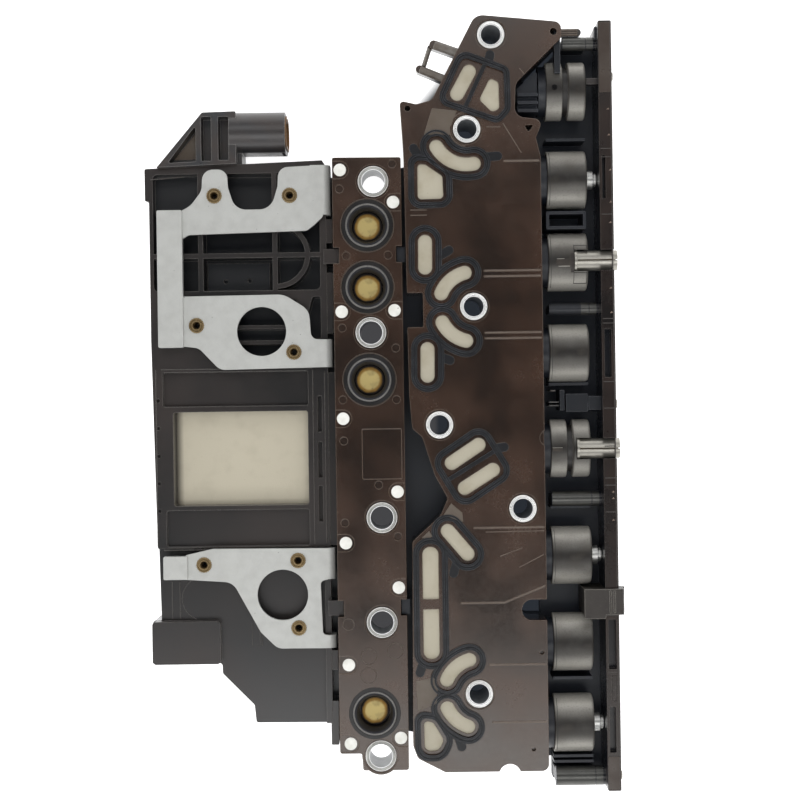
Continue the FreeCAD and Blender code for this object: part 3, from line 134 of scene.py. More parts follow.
class Signal:
    """A number that varies over a surface: the output socket of a node, with arithmetic."""

    def __init__(self, graph: "Graph", socket: bpy.types.NodeSocket) -> None:
        """Wraps one output socket of a graph."""
        self.graph = graph
        self.socket = socket

    def combine(self, operation: str, first: "Number", second: "Number") -> "Signal":
        """Adds one Math node for two numbers."""
        return self.graph.node("ShaderNodeMath", {"operation": operation}, {0: first, 1: second})

    def __add__(self, other: "Number") -> "Signal":
        """Sum of two numbers."""
        return self.combine("ADD", self, other)

    def __radd__(self, other: "Number") -> "Signal":
        """Sum with a plain number on the left."""
        return self.combine("ADD", other, self)

    def __sub__(self, other: "Number") -> "Signal":
        """Difference of two numbers."""
        return self.combine("SUBTRACT", self, other)

    def __rsub__(self, other: "Number") -> "Signal":
        """Difference with a plain number on the left."""
        return self.combine("SUBTRACT", other, self)

    def __mul__(self, other: "Number") -> "Signal":
        """Product of two numbers."""
        return self.combine("MULTIPLY", self, other)

    def __rmul__(self, other: "Number") -> "Signal":
        """Product with a plain number on the left."""
        return self.combine("MULTIPLY", other, self)

    def above(self, threshold: float, softness: float) -> "Signal":
        """Rises from 0 to 1 as the number passes a threshold.

        Args:
            threshold: where the rise starts.
            softness: how much further the number goes until the rise is complete.

        Returns:
            The mask, clamped to 0 and 1.
        """
        limits = {1: threshold, 2: threshold + softness, 3: 0.0, 4: 1.0}
        return self.graph.node("ShaderNodeMapRange", {"clamp": True}, {0: self, **limits})

    def within(self, low: float, high: float, softness: float) -> "Signal":
        """Is 1 while the number lies between two limits.

        Args:
            low: where the rise to 1 starts.
            high: where the fall to 0 starts.
            softness: how much further the number goes until the rise or fall is complete.

        Returns:
            The mask, from 0 to 1.
        """
        return self.above(low, softness) * (1.0 - self.above(high, softness))


Number = Union[float, Signal]
Input = Union[float, Sequence[float], Signal]


class Graph:
    """The nodes of one material, round its main shader."""

    bevel_samples: int = 4
    edge_turn: Mask = (0.01, 0.12)

    def __init__(self, name: str) -> None:
        """Makes an empty material with one shader.

        Args:
            name: name of the material.
        """
        self.material = bpy.data.materials.new(name)
        self.material.use_nodes = True
        self.tree = self.material.node_tree
        self.tree.nodes.clear()
        self.shader = self.tree.nodes.new("ShaderNodeBsdfPrincipled")
        output = self.tree.nodes.new("ShaderNodeOutputMaterial")
        self.tree.links.new(self.shader.outputs["BSDF"], output.inputs["Surface"])

    def node(
        self,
        kind: str,
        settings: Dict[str, object],
        inputs: Dict[Union[int, str], Input],
        output: Union[int, str] = 0,
    ) -> Signal:
        """Adds one node.

        Args:
            kind: the node's type.
            settings: its properties, set first; "stops" gives a ramp's places and colours.
            inputs: values or links of its sockets.
            output: the socket that is handed back.

        Returns:
            The chosen output of the new node.
        """
        made = self.tree.nodes.new(kind)
        for name, setting in settings.items():
            if name == "stops":
                self.set_stops(made.color_ramp, setting)
            else:
                setattr(made, name, setting)
        for name, given in inputs.items():
            self.feed(made.inputs[name], given)
        return Signal(self, made.outputs[output])

    @staticmethod
    def set_stops(ramp: bpy.types.ColorRamp, stops: Sequence[Tuple[float, Colour]]) -> None:
        """Gives a ramp its stops.

        Args:
            ramp: the ramp to change.
            stops: place and colour of each stop.
        """
        while len(ramp.elements) < len(stops):
            ramp.elements.new(1.0)
        for element, (place, colour) in zip(ramp.elements, stops):
            element.position = place
            element.color = colour

    def feed(self, socket: bpy.types.NodeSocket, given: Input) -> None:
        """Links a signal to a socket, or sets the socket's value.

        Args:
            socket: the socket to feed.
            given: a signal, or a plain value.
        """
        if isinstance(given, Signal):
            self.tree.links.new(given.socket, socket)
        else:
            socket.default_value = given

    def surface(self, settings: Dict[str, Input]) -> None:
        """Feeds sockets of the main shader by name."""
        for name, given in settings.items():
            self.feed(self.shader.inputs[name], given)

    def position(self) -> Signal:
        """The point on the surface in metres, in the module's own frame."""
        return self.node("ShaderNodeTexCoord", {}, {}, "Object")

    def stretched(self, point: Signal, scale: Point) -> Signal:
        """Scales a point by one factor for each axis."""
        return self.node("ShaderNodeVectorMath", {"operation": "MULTIPLY"}, {0: point, 1: scale})

    def along(self, point: Signal, axis: str) -> Signal:
        """One coordinate of a point: X, Y or Z."""
        return self.node("ShaderNodeSeparateXYZ", {}, {0: point}, axis)

    def waves(self, point: Signal, axis: str, scale: float) -> Signal:
        """Even bands that follow each other along one axis.

        Args:
            point: where they are read.
            axis: X, Y or Z.
            scale: how close they lie together.

        Returns:
            A number from 0 to 1.
        """
        settings = {"wave_type": "BANDS", "bands_direction": axis}
        return self.node("ShaderNodeTexWave", settings, {"Vector": point, "Scale": scale}, "Fac")

    def noise(self, point: Signal, size: float, detail: float = 2.0) -> Signal:
        """Soft cloudy noise.

        Args:
            point: where it is read.
            size: size of its clouds in millimetres.
            detail: how many finer layers it has.

        Returns:
            A number round 0.5.
        """
        inputs = {"Vector": point, "Scale": 1.0 / (size * MILLIMETRE), "Detail": detail}
        return self.node("ShaderNodeTexNoise", {}, inputs)

    def specks(self, point: Signal, spacing: float, radius: float) -> Signal:
        """Small round spots, 1 in their middle and 0 outside.

        Args:
            point: where they are read.
            spacing: distance from spot to spot in millimetres.
            radius: size of a spot as a share of the spacing.

        Returns:
            The mask.
        """
        inputs = {"Vector": point, "Scale": 1.0 / (spacing * MILLIMETRE)}
        distance = self.node("ShaderNodeTexVoronoi", {}, inputs, "Distance")
        return 1.0 - distance.above(radius * 0.5, radius * 0.5)

    def blend(self, share: Number, first: Input, second: Input) -> Signal:
        """Mixes two colours.

        Args:
            share: 0 for the first colour, 1 for the second.
            first: a colour or a link.
            second: a colour or a link.

        Returns:
            The mixed colour.
        """
        return self.node("ShaderNodeMix", {"data_type": "RGBA"}, {0: share, 6: first, 7: second}, 2)

    def bevelled(self, radius: float) -> Signal:
        """The normal of a surface whose edges are rounded by a radius in millimetres."""
        settings = {"samples": self.bevel_samples}
        return self.node("ShaderNodeBevel", settings, {"Radius": radius * MILLIMETRE})

    def edge_mask(self, bevelled: Signal) -> Signal:
        """How much a rounded edge turns the surface's normal.

        Args:
            bevelled: the rounded normal.

        Returns:
            0 on flats, towards 1 on edges.
        """
        flat = self.node("ShaderNodeNewGeometry", {}, {}, "Normal")
        settings = {"operation": "DOT_PRODUCT"}
        agreement = self.node("ShaderNodeVectorMath", settings, {0: flat, 1: bevelled}, "Value")
        return (1.0 - agreement).above(*self.edge_turn)

    def bumped(self, height: Signal, depth: float, normal: Optional[Signal] = None) -> Signal:
        """Presses a height into the surface's normal.

        Args:
            height: the relief, 0 to 1.
            depth: how deep the relief is, in millimetres.
            normal: the normal that it starts from.

        Returns:
            The new normal.
        """
        inputs: Dict[Union[int, str], Input] = {"Height": height, "Distance": depth * MILLIMETRE}
        if normal is not None:
            inputs["Normal"] = normal
        return self.node("ShaderNodeBump", {}, inputs)


# Finishes


@dataclass(frozen=True)
class Moulding:
    """Glass-filled moulding: flow clouds, a fine grain, dust, painted edge highlights and painted
    shade low down.
    """

    name: str
    colour: Colour
    second: Colour
    # Colour of the painted highlight along the edges, also the colour of the dust
    edge: Colour
    roughness: float = 0.4
    cloud: float = 22.0
    rounding: float = 0.3
    dust: float = 0.25
    shine: float = 0.5
    film: float = 0.0
    # Colour of the painted shade on the surfaces below deep_level, fading in over deep_fade
    deep: Optional[Colour] = None
    deep_level: float = 17.0
    deep_fade: float = 4.0
    relief: float = 0.012
    gloss: Colour = WHITE_LIGHT
    cloud_mask: Mask = (0.35, 0.3)
    grain_size: float = 1.4
    dust_mask: Mask = (0.62, 0.2)
    edge_highlight_share: float = 0.8
    pit_spacing: float = 9.0
    pit_size: float = 0.04
    pit_share: float = 0.6
    pit_colour: Colour = tone(8, 8, 9)
    rough_grain: float = 0.12
    rough_clouds: float = 0.1
    smooth_edges: float = 0.08
    film_roughness: float = 0.16

    def material(self) -> bpy.types.Material:
        """Builds the material.

        Returns:
            The finished material.
        """
        graph = Graph(self.name)
        point = graph.position()
        clouds = graph.noise(point, self.cloud, detail=4.0).above(*self.cloud_mask)
        grain = graph.noise(point, self.grain_size)
        pits = graph.specks(point, self.pit_spacing, self.pit_size)
        normal = graph.bevelled(self.rounding)
        edges = graph.edge_mask(normal)
        body = graph.blend(clouds, self.colour, self.second)
        # Painted shade: the surfaces below deep_level take the deep colour
        if self.deep is not None:
            height = graph.along(point, "Z")
            above_shade = height.above(self.deep_level * MILLIMETRE, self.deep_fade * MILLIMETRE)
            body = graph.blend(above_shade, self.deep, body)
        # Painted highlight: the edges lighter in the edge colour
        edge_lit = graph.blend(edges * self.edge_highlight_share, body, self.edge)
        dusty = graph.blend(grain.above(*self.dust_mask) * self.dust, edge_lit, self.edge)
        spotted = graph.blend(pits * self.pit_share, dusty, self.pit_colour)
        uneven = self.roughness + self.rough_grain * grain + self.rough_clouds * clouds
        graph.surface(
            {
                "Base Color": spotted,
                "Roughness": uneven - self.smooth_edges * edges,
                "Normal": graph.bumped(grain - self.pit_share * pits, self.relief, normal),
                "Specular IOR Level": self.shine,
                "Specular Tint": self.gloss,
                "Coat Weight": self.film,
                "Coat Roughness": self.film_roughness,
            }
        )
        return graph.material


@dataclass(frozen=True)
class Metal:
    """Metal with a drawn or rolled grain, small dents and dull patches."""

    name: str
    colour: Colour
    dull: Colour
    roughness: float
    metallic: float = 1.0
    grain: Point = (1.0, 1.0, 1.0)
    grain_depth: float = 0.01
    pit_spacing: float = 14.0
    pit_depth: float = 0.5
    rounding: float = 0.25
    line_size: float = 0.5
    line_mask: Mask = (0.45, 0.2)
    patch_size: float = 5.0
    patch_mask: Mask = (0.4, 0.35)
    dull_share: float = 0.4
    pit_size: float = 0.05
    pit_colour: Colour = tone(92, 90, 86)
    pit_tarnish: float = 0.3
    rough_lines: float = 0.1
    rough_patches: float = 0.08

    def material(self) -> bpy.types.Material:
        """Builds the material.

        Returns:
            The finished material.
        """
        graph = Graph(self.name)
        point = graph.position()
        drawn = graph.noise(graph.stretched(point, self.grain), self.line_size, detail=3.0)
        patches = graph.noise(point, self.patch_size, detail=6.0).above(*self.patch_mask)
        pits = graph.specks(point, self.pit_spacing, self.pit_size)
        normal = graph.bevelled(self.rounding)
        body = graph.blend(patches * self.dull_share, self.colour, self.dull)
        lined = graph.blend(drawn.above(*self.line_mask) * self.dull_share, body, self.dull)
        uneven = self.roughness + self.rough_lines * drawn + self.rough_patches * patches
        graph.surface(
            {
                "Base Color": graph.blend(pits * self.pit_depth, lined, self.pit_colour),
                "Metallic": self.metallic - self.pit_tarnish * pits,
                "Roughness": uneven,
                "Normal": graph.bumped(drawn - pits, self.grain_depth, normal),
            }
        )
        return graph.material


@dataclass(frozen=True)
class DrawnSteel:
    """Deep-drawn steel with stains and scuffs, dark on top and paler down the flanks as a painted
    reflection.
    """

    name: str
    # Dark crown and pale flanks: a painted reflection
    crown: Colour
    flank_reflection: Colour
    stain: Colour
    crown_height: float = 28.9
    fade: float = 1.9
    wander: float = 0.8
    cloud_size: float = 8.0
    grit_size: float = 0.6
    grit_mask: Mask = (0.5, 0.2)
    grit_share: float = 0.22
    stain_mask: Mask = (0.5, 0.3)
    stain_share: float = 0.3
    scuff_spacing: float = 11.0
    scuff_size: float = 0.05
    scuff_share: float = 0.5
    scuff_colour: Colour = tone(70, 66, 60)
    metallic: float = 0.4
    crown_metallic: float = 0.25
    roughness: float = 0.4
    rough_clouds: float = 0.06
    rounding: float = 0.3

    def material(self) -> bpy.types.Material:
        """Builds the material.

        Returns:
            The finished material.
        """
        graph = Graph(self.name)
        point = graph.position()
        height = graph.along(point, "Z")
        clouds = graph.noise(point, self.cloud_size, detail=3.0)
        start = (self.crown_height - self.fade) * MILLIMETRE
        border = height + self.wander * MILLIMETRE * (clouds - 0.5)
        # Painted reflection: dark crown above crown_height, pale flanks below it
        crown = border.above(start, 2 * self.fade * MILLIMETRE)
        scuffs = graph.specks(point, self.scuff_spacing, self.scuff_size) * self.scuff_share
        grit = graph.noise(point, self.grit_size, detail=3.0).above(*self.grit_mask)
        body = graph.blend(crown, self.flank_reflection, self.crown)
        gritty = graph.blend(grit * self.grit_share, body, self.crown)
        stains = clouds.above(*self.stain_mask) * self.stain_share
        stained = graph.blend(stains, gritty, self.stain)
        graph.surface(
            {
                "Base Color": graph.blend(scuffs, stained, self.scuff_colour),
                "Metallic": self.metallic + self.crown_metallic * crown,
                "Roughness": self.roughness + self.rough_clouds * clouds,
                "Normal": graph.bevelled(self.rounding),
            }
        )
        return graph.material


@dataclass(frozen=True)
class Rubber:
    """Moulded rubber with a faint bloom, lint and a painted highlight along its edges."""

    name: str
    colour: Colour
    bloom: Colour
    # Colour of the painted highlight along the edges
    edge: Colour
    roughness: float = 0.36
    shine: float = 0.5
    cloud_size: float = 6.0
    cloud_mask: Mask = (0.45, 0.25)
    bloom_share: float = 0.6
    grain_size: float = 0.5
    edge_highlight_share: float = 0.35
    bloomed_edge_highlight_share: float = 0.5
    lint_spacing: float = 4.0
    lint_size: float = 0.07
    lint_share: float = 0.25
    lint_colour: Colour = tone(120, 120, 116)
    rough_grain: float = 0.15
    relief: float = 0.01
    rounding: float = 0.2

    def material(self) -> bpy.types.Material:
        """Builds the material.

        Returns:
            The finished material.
        """
        graph = Graph(self.name)
        point = graph.position()
        clouds = graph.noise(point, self.cloud_size, detail=4.0).above(*self.cloud_mask)
        grain = graph.noise(point, self.grain_size)
        lint = graph.specks(point, self.lint_spacing, self.lint_size) * self.lint_share
        normal = graph.bevelled(self.rounding)
        body = graph.blend(clouds * self.bloom_share, self.colour, self.bloom)
        # Painted highlight: the edges lighter in the edge colour, more so where the bloom lies
        highlight_strength = self.edge_highlight_share + self.bloomed_edge_highlight_share * clouds
        highlit = graph.blend(graph.edge_mask(normal) * highlight_strength, body, self.edge)
        graph.surface(
            {
                "Base Color": graph.blend(lint, highlit, self.lint_colour),
                "Roughness": self.roughness + self.rough_grain * grain,
                "Specular IOR Level": self.shine,
                "Normal": graph.bumped(grain, self.relief, normal),
            }
        )
        return graph.material


@dataclass(frozen=True)
class ContactDisc:
    """Plated brass disc round its origin: pale middle, amber ring, rim in painted shade of its cup.
    """

    name: str
    middle: Colour
    ring: Colour
    # Colour of the painted shade at the rim, also the colour of the stains
    rim: Colour
    middle_radius: float = 3.6
    ring_radius: float = 4.7
    fade: float = 0.8
    rim_fade: float = 0.7
    cloud_size: float = 3.0
    spot_spacing: float = 3.6
    spot_size: float = 0.08
    spot_share: float = 0.6
    spot_colour: Colour = tone(96, 74, 48)
    stain_mask: Mask = (0.52, 0.2)
    stain_share: float = 0.3
    metallic: float = 0.35
    roughness: float = 0.38
    rough_clouds: float = 0.15
    relief: float = 0.04
    rounding: float = 0.2

    def material(self) -> bpy.types.Material:
        """Builds the material.

        Returns:
            The finished material.
        """
        graph = Graph(self.name)
        point = graph.position()
        flat = graph.stretched(point, (1.0, 1.0, 0.0))
        reach = graph.node("ShaderNodeVectorMath", {"operation": "LENGTH"}, {0: flat}, "Value")
        clouds = graph.noise(point, self.cloud_size, detail=3.0)
        fade = self.fade * MILLIMETRE
        spread = reach + fade * (clouds - 0.5)
        past_middle = spread.above(self.middle_radius * MILLIMETRE, fade)
        # Painted shade: the disc darkens past the amber ring
        rim_shade_mask = spread.above(self.ring_radius * MILLIMETRE, self.rim_fade * MILLIMETRE)
        inner = graph.blend(past_middle, self.middle, self.ring)
        outer = graph.blend(rim_shade_mask, inner, self.rim)
        spots = graph.specks(point, self.spot_spacing, self.spot_size) * self.spot_share
        spotted = graph.blend(spots, outer, self.spot_colour)
        stains = clouds.above(*self.stain_mask) * self.stain_share
        graph.surface(
            {
                "Base Color": graph.blend(stains, spotted, self.rim),
                "Metallic": self.metallic,
                "Roughness": self.roughness + self.rough_clouds * clouds,
                "Normal": graph.bumped(clouds, self.relief, graph.bevelled(self.rounding)),
            }
        )
        return graph.material


@dataclass(frozen=True)
class PaleFace:
    """Woven filter cloth, or a matt plate with painted shadow along two sides: cream with grey
    stains.
    """

    name: str
    colour: Colour
    stain: Colour
    weave: float = 0.0
    # Corner where the two sides with painted shadow meet, and how far the shadow reaches along X
    # and Y
    shaded_corner: Optional[Place] = None
    shadow_widths: Tuple[float, float] = (3.4, 2.6)
    side_shadow: Colour = tone(36, 30, 27)
    foot_shadow: Colour = tone(70, 60, 50)
    foot_shadow_share: float = 0.45
    stain_size: float = 7.0
    stain_mask: Mask = (0.5, 0.3)
    stain_share: float = 0.55
    grain_size: float = 0.6
    speck_spacing: float = 3.2
    speck_size: float = 0.08
    thread_shade: float = 0.3
    thread_grain: float = 0.2
    roughness: float = 0.62
    rough_grain: float = 0.2
    relief: float = 0.05

    def material(self) -> bpy.types.Material:
        """Builds the material.

        Returns:
            The finished material.
        """
        graph = Graph(self.name)
        point = graph.position()
        stains = graph.noise(point, self.stain_size, detail=5.0).above(*self.stain_mask)
        grain = graph.noise(point, self.grain_size, detail=3.0)
        specks = graph.specks(point, self.speck_spacing, self.speck_size)
        body = graph.blend(stains * self.stain_share, self.colour, self.stain)
        face = graph.blend(specks * grain, body, self.stain)
        height = grain
        # Painted shadow along two sides of the plate
        if self.shaded_corner is not None:
            face = self.shaded(graph, point, face)
        if self.weave:
            across, along = (graph.waves(point, axis, self.weave) for axis in "XY")
            threads = across * along
            height = threads + self.thread_grain * grain
            face = graph.blend((1.0 - threads) * self.thread_shade, face, self.stain)
        graph.surface(
            {
                "Base Color": face,
                "Roughness": self.roughness + self.rough_grain * grain,
                "Normal": graph.bumped(height, self.relief),
            }
        )
        return graph.material

    def shaded(self, graph: Graph, point: Signal, face: Signal) -> Signal:
        """Paints the shadow along the two sides that meet in the shaded corner.

        Args:
            graph: the material's nodes.
            point: the point on the surface.
            face: the colour without the painted shadow.

        Returns:
            The colour with the painted shadow.
        """
        unshaded = [
            graph.along(point, axis).above(corner * MILLIMETRE, width * MILLIMETRE)
            for axis, corner, width in zip("XY", self.shaded_corner, self.shadow_widths)
        ]
        sided = graph.blend(unshaded[0], self.side_shadow, face)
        foot_mask = (1.0 - self.foot_shadow_share) + self.foot_shadow_share * unshaded[1]
        return graph.blend(foot_mask, self.foot_shadow, sided)


@dataclass(frozen=True)
class Winding:
    """Enamelled wire wound in close turns along X."""

    name: str
    colour: Colour
    gap: Colour
    turns: float
    grain_size: float = 2.0
    metallic: float = 0.9
    roughness: float = 0.25
    rough_grain: float = 0.2
    relief: float = 0.15

    def material(self) -> bpy.types.Material:
        """Builds the material.

        Returns:
            The finished material.
        """
        graph = Graph(self.name)
        point = graph.position()
        turns = graph.waves(point, "X", self.turns)
        grain = graph.noise(point, self.grain_size)
        graph.surface(
            {
                "Base Color": graph.blend(turns, self.gap, self.colour),
                "Metallic": self.metallic,
                "Roughness": self.roughness + self.rough_grain * grain,
                "Normal": graph.bumped(turns, self.relief),
            }
        )
        return graph.material


WARM_GLOSS = (1.0, 0.95, 0.9, 1.0)
# Its deep colour is painted shade below 27 mm
BROWN = Moulding(
    "brown_moulding", colour=tone(30, 20, 14), second=tone(52, 31, 17), edge=tone(112, 96, 82),
    roughness=0.12, cloud=30.0, rounding=0.4, dust=0.0, shine=1.0, film=0.2,
    deep=tone(22, 17, 15), deep_level=27.0, relief=0.003, gloss=WARM_GLOSS,
)
# On the strip's rings round the switches its lighter colour is a painted highlight
PAD_BROWN = Moulding(
    "pad_moulding", colour=tone(62, 54, 48), second=tone(50, 40, 33), edge=tone(120, 110, 98),
    roughness=0.22, cloud=9.0, rounding=0.2, dust=0.0,
)
PORT_PAD = Moulding(
    "port_pad", colour=tone(88, 80, 71), second=tone(80, 70, 60), edge=tone(130, 120, 108),
    roughness=0.26, cloud=9.0, rounding=0.2, dust=0.1,
)
# Lighter than the port face: painted highlight on the creases, mould-line crests, half ring and tip
# ribs
CREASE_HIGHLIGHT = Moulding(
    "crease_highlight", colour=tone(92, 82, 73), second=tone(82, 70, 62), edge=tone(120, 110, 100),
    roughness=0.3, cloud=8.0, rounding=0.1, dust=0.0,
)
# Pale grey on the hook's rounded tops: painted highlight on the brown moulding
HOOK_HIGHLIGHT = Moulding(
    "hook_highlight", colour=tone(112, 108, 102), second=tone(84, 76, 68),
    edge=tone(160, 156, 150), roughness=0.34, cloud=5.0, rounding=0.4, dust=0.1,
)
# Its deep colour is painted shade below 28.5 mm
DARK_BROWN = Moulding(
    "frame_moulding", colour=tone(19, 16, 15), second=tone(34, 23, 18), edge=tone(88, 82, 78),
    roughness=0.18, cloud=20.0, rounding=0.4, dust=0.0, film=0.25, deep=tone(14, 17, 23),
    deep_level=28.5, relief=0.004, gloss=WARM_GLOSS,
)
# Painted highlight on the frame's steps, lighter than the frame, and painted shadow on the
# brackets' bends, darker than the sheet
STEP_LINE_LIGHT_AND_SHADE = Moulding(
    "step_line_light_and_shade", colour=tone(64, 60, 57), second=tone(52, 48, 46), edge=tone(104, 100, 96),
    roughness=0.34, cloud=8.0, rounding=0.1, dust=0.1,
)
CHIP = Moulding(
    "chip_moulding", colour=tone(128, 112, 100), second=tone(110, 92, 80),
    edge=tone(170, 160, 150), cloud=3.0, rounding=0.1,
)
BLACK = Moulding(
    "black_moulding", colour=tone(21, 25, 32), second=tone(27, 29, 34), edge=tone(78, 82, 88),
    roughness=0.3, cloud=16.0, rounding=0.4, dust=0.0, shine=0.6,
)
# Its deep colour is painted shade below 18.5 mm
CHARCOAL = Moulding(
    "charcoal_moulding", colour=tone(17, 15, 14), second=tone(32, 24, 20),
    edge=tone(104, 100, 95), roughness=0.26, cloud=34.0, rounding=0.45, dust=0.0, shine=0.7,
    film=0.5, deep=tone(7, 9, 13), deep_level=18.5, relief=0.005,
)
GREY = Moulding(
    "grey_moulding", colour=tone(38, 39, 41), second=tone(46, 38, 34), edge=tone(132, 130, 126),
    roughness=0.24, cloud=14.0, rounding=0.45, dust=0.1, shine=0.8,
)
SLATE = Moulding(
    "slate_moulding", colour=tone(23, 26, 31), second=tone(28, 30, 34), edge=tone(118, 120, 124),
    roughness=0.34, cloud=9.0, rounding=0.4, dust=0.0, shine=0.4,
)
LATCH = Moulding(
    "latch_moulding", colour=tone(48, 44, 40), second=tone(42, 38, 35), edge=tone(150, 146, 138),
    roughness=0.34, cloud=8.0, rounding=0.45, dust=0.1,
)
GROOVE = Moulding(
    "groove_moulding", colour=tone(40, 38, 36), second=tone(34, 32, 31), edge=tone(56, 54, 52),
    roughness=0.3, cloud=5.0, rounding=0.2, dust=0.1,
)
WHITE = Moulding(
    "white_moulding", colour=tone(222, 222, 216), second=tone(206, 206, 198),
    edge=tone(232, 232, 228), cloud=3.0, dust=0.1,
)
# Its edge colour is the painted highlight on the gaskets' beads
SEAL = Rubber(
    "seal_rubber", colour=tone(9, 11, 15), bloom=tone(18, 20, 25), edge=tone(128, 132, 138),
    roughness=0.3,
)
CUP = Rubber(
    "switch_rubber", colour=tone(33, 33, 36), bloom=tone(40, 40, 43), edge=tone(112, 112, 112),
    roughness=0.55, shine=0.25,
)
MOUTH_SEAL = Rubber(
    "connector_rubber", colour=tone(112, 80, 46), bloom=tone(84, 60, 38), edge=tone(156, 122, 82),
    roughness=0.5,
)
# Dark crown and pale flanks: a painted reflection, also on the frame's screws
CAN = DrawnSteel(
    "can_steel", crown=tone(50, 48, 46), flank_reflection=tone(176, 173, 165), stain=tone(98, 92, 84),
)
BRIGHT = Metal(
    "sleeve_steel", colour=tone(250, 250, 248), dull=tone(238, 238, 235), roughness=0.3,
    metallic=0.1, grain_depth=0.004,
)
RIM = Metal(
    "rim_steel", colour=tone(252, 252, 250), dull=tone(240, 240, 237), roughness=0.22,
    metallic=0.8, grain_depth=0.003,
)
WORN_RIM = Metal(
    "worn_rim", colour=tone(186, 186, 181), dull=tone(120, 120, 116), roughness=0.26,
    metallic=0.85, grain_depth=0.012, pit_spacing=3.0,
)
BORE = Metal(
    "bore_steel", colour=tone(176, 178, 180), dull=tone(130, 133, 136), roughness=0.3,
    metallic=0.25, grain=(4.0, 4.0, 1.0),
)
STUD = Metal(
    "stud_steel", colour=tone(236, 236, 232), dull=tone(214, 214, 209), roughness=0.32,
    metallic=0.95, grain_depth=0.0004, pit_depth=0.2, rounding=0.04,
)
PIN_STEEL = Metal(
    "pin_steel", colour=tone(176, 173, 164), dull=tone(150, 146, 137), roughness=0.24,
    metallic=0.85, grain=(0.3, 2.0, 2.0), grain_depth=0.0006, pit_spacing=5.0, rounding=0.06,
)
POST = Metal(
    "post_finish", colour=tone(92, 92, 89), dull=tone(74, 74, 72), roughness=0.24, metallic=0.8,
    grain=(0.3, 2.0, 2.0), grain_depth=0.0005, pit_spacing=9.0, pit_depth=0.4, rounding=0.04,
)
# Pale metallic finish on the black rubber lips: a painted sheen
LIP = Metal(
    "lip_sheen", colour=tone(126, 124, 121), dull=tone(84, 83, 81), roughness=0.3, metallic=0.7,
    grain_depth=0.004,
)
COLLAR = Moulding(
    "collar_moulding", colour=tone(17, 16, 16), second=tone(24, 22, 21), edge=tone(62, 60, 58),
    roughness=0.24, cloud=6.0, rounding=0.1, dust=0.0, film=0.15,
)
LINING = Moulding(
    "pin_lining", colour=tone(86, 70, 48), second=tone(48, 38, 28), edge=tone(150, 120, 84),
    roughness=0.45, cloud=2.0, rounding=0.1,
)
SLOT = Moulding(
    "slot_moulding", colour=tone(50, 44, 38), second=tone(36, 32, 29), edge=tone(74, 68, 62),
    cloud=3.0, rounding=0.1, dust=0.1,
)
SCORE = Moulding(
    "score_mark", colour=tone(30, 29, 28), second=tone(38, 36, 34), edge=tone(50, 48, 46),
    roughness=0.5, cloud=3.0, rounding=0.05,
)
VENT = Moulding(
    "vent_mark", colour=tone(6, 6, 7), second=tone(10, 10, 11), edge=tone(24, 23, 22),
    roughness=0.7, cloud=3.0, rounding=0.05, dust=0.0, shine=0.2,
)
GROUND = Metal(
    "armature_steel", colour=tone(180, 180, 180), dull=tone(160, 160, 160), roughness=0.3,
)
BRASS = Metal(
    "insert_brass", colour=tone(166, 144, 106), dull=tone(96, 78, 54), roughness=0.3,
    metallic=0.85, grain=(1.0, 1.0, 3.0), grain_depth=0.03, pit_spacing=1.2, pit_depth=0.6,
    rounding=0.1,
)
# Its rim colour is painted shade of the cup
CONTACT = ContactDisc(
    "contact_brass", middle=tone(192, 172, 112), ring=tone(160, 124, 62), rim=tone(42, 39, 38),
)
SHEET = Metal(
    "bracket_aluminium", colour=tone(194, 195, 191), dull=tone(166, 166, 162), roughness=0.4,
    metallic=0.5, grain=(1.0, 9.0, 1.0), grain_depth=0.03, pit_spacing=4.0, pit_depth=1.0,
)
# Painted shadow along the plate's left and lower sides
CREAM = PaleFace(
    "heat_plate_cream", colour=tone(188, 181, 162), stain=tone(170, 163, 144),
    shaded_corner=PLATE_CORNER,
)
SCREEN = PaleFace(
    "screen_cream", colour=tone(190, 185, 168), stain=tone(150, 138, 112), weave=900.0,
)
WIRE = Winding("winding_copper", colour=tone(196, 118, 66), gap=tone(70, 36, 20), turns=500.0)
BOARD = Moulding(
    "board_laminate", colour=tone(24, 66, 38), second=tone(30, 78, 44), edge=tone(150, 140, 80),
    roughness=0.35, cloud=5.0,
)

NODE_FINISHES = {
    "manifold_body": BROWN,
    "switch_carrier": BROWN,
    "retainer_frame": DARK_BROWN,
    "lower_cover": BLACK,
    "solenoid_tray": BLACK,
    "frame_latch": LATCH,
    "solenoid_noses": BLACK,
    "control_housing": CHARCOAL,
    "connector_shell": GREY,
    "filter_screens": SCREEN,
    "heat_plate": CREAM,
    "manifold_sleeves": BRIGHT,
    "carrier_sleeves": BRIGHT,
    "adjuster_studs": STUD,
    "roll_pins": PIN_STEEL,
    "frame_screws": CAN,
    "carrier_pins": WHITE,
    "solenoid_coils": WIRE,
    "upper_bracket": SHEET,
    "lower_bracket": SHEET,
    "base_plate": SHEET,
    "threaded_inserts": BRASS,
    "circuit_board": BOARD,
    "connector_pins": BRASS,
    "connector_seal": MOUTH_SEAL,
}
GROUP_FINISHES = {
    "solenoid_can": CAN,
    "plunger": GROUND,
    "port_gasket": SEAL,
    "switch_seal": CUP,
    "switch_disc": CONTACT,
}


class Finish(Protocol):
    """What every finish offers: a name, and a material that it builds."""

    name: str

    def material(self) -> bpy.types.Material:
        """Builds the material."""


def finish_of(node: str) -> Finish:
    """The finish of one node of the frame, by its own name or its group's."""
    return NODE_FINISHES.get(node) or GROUP_FINISHES[node.rsplit("_", 1)[0]]


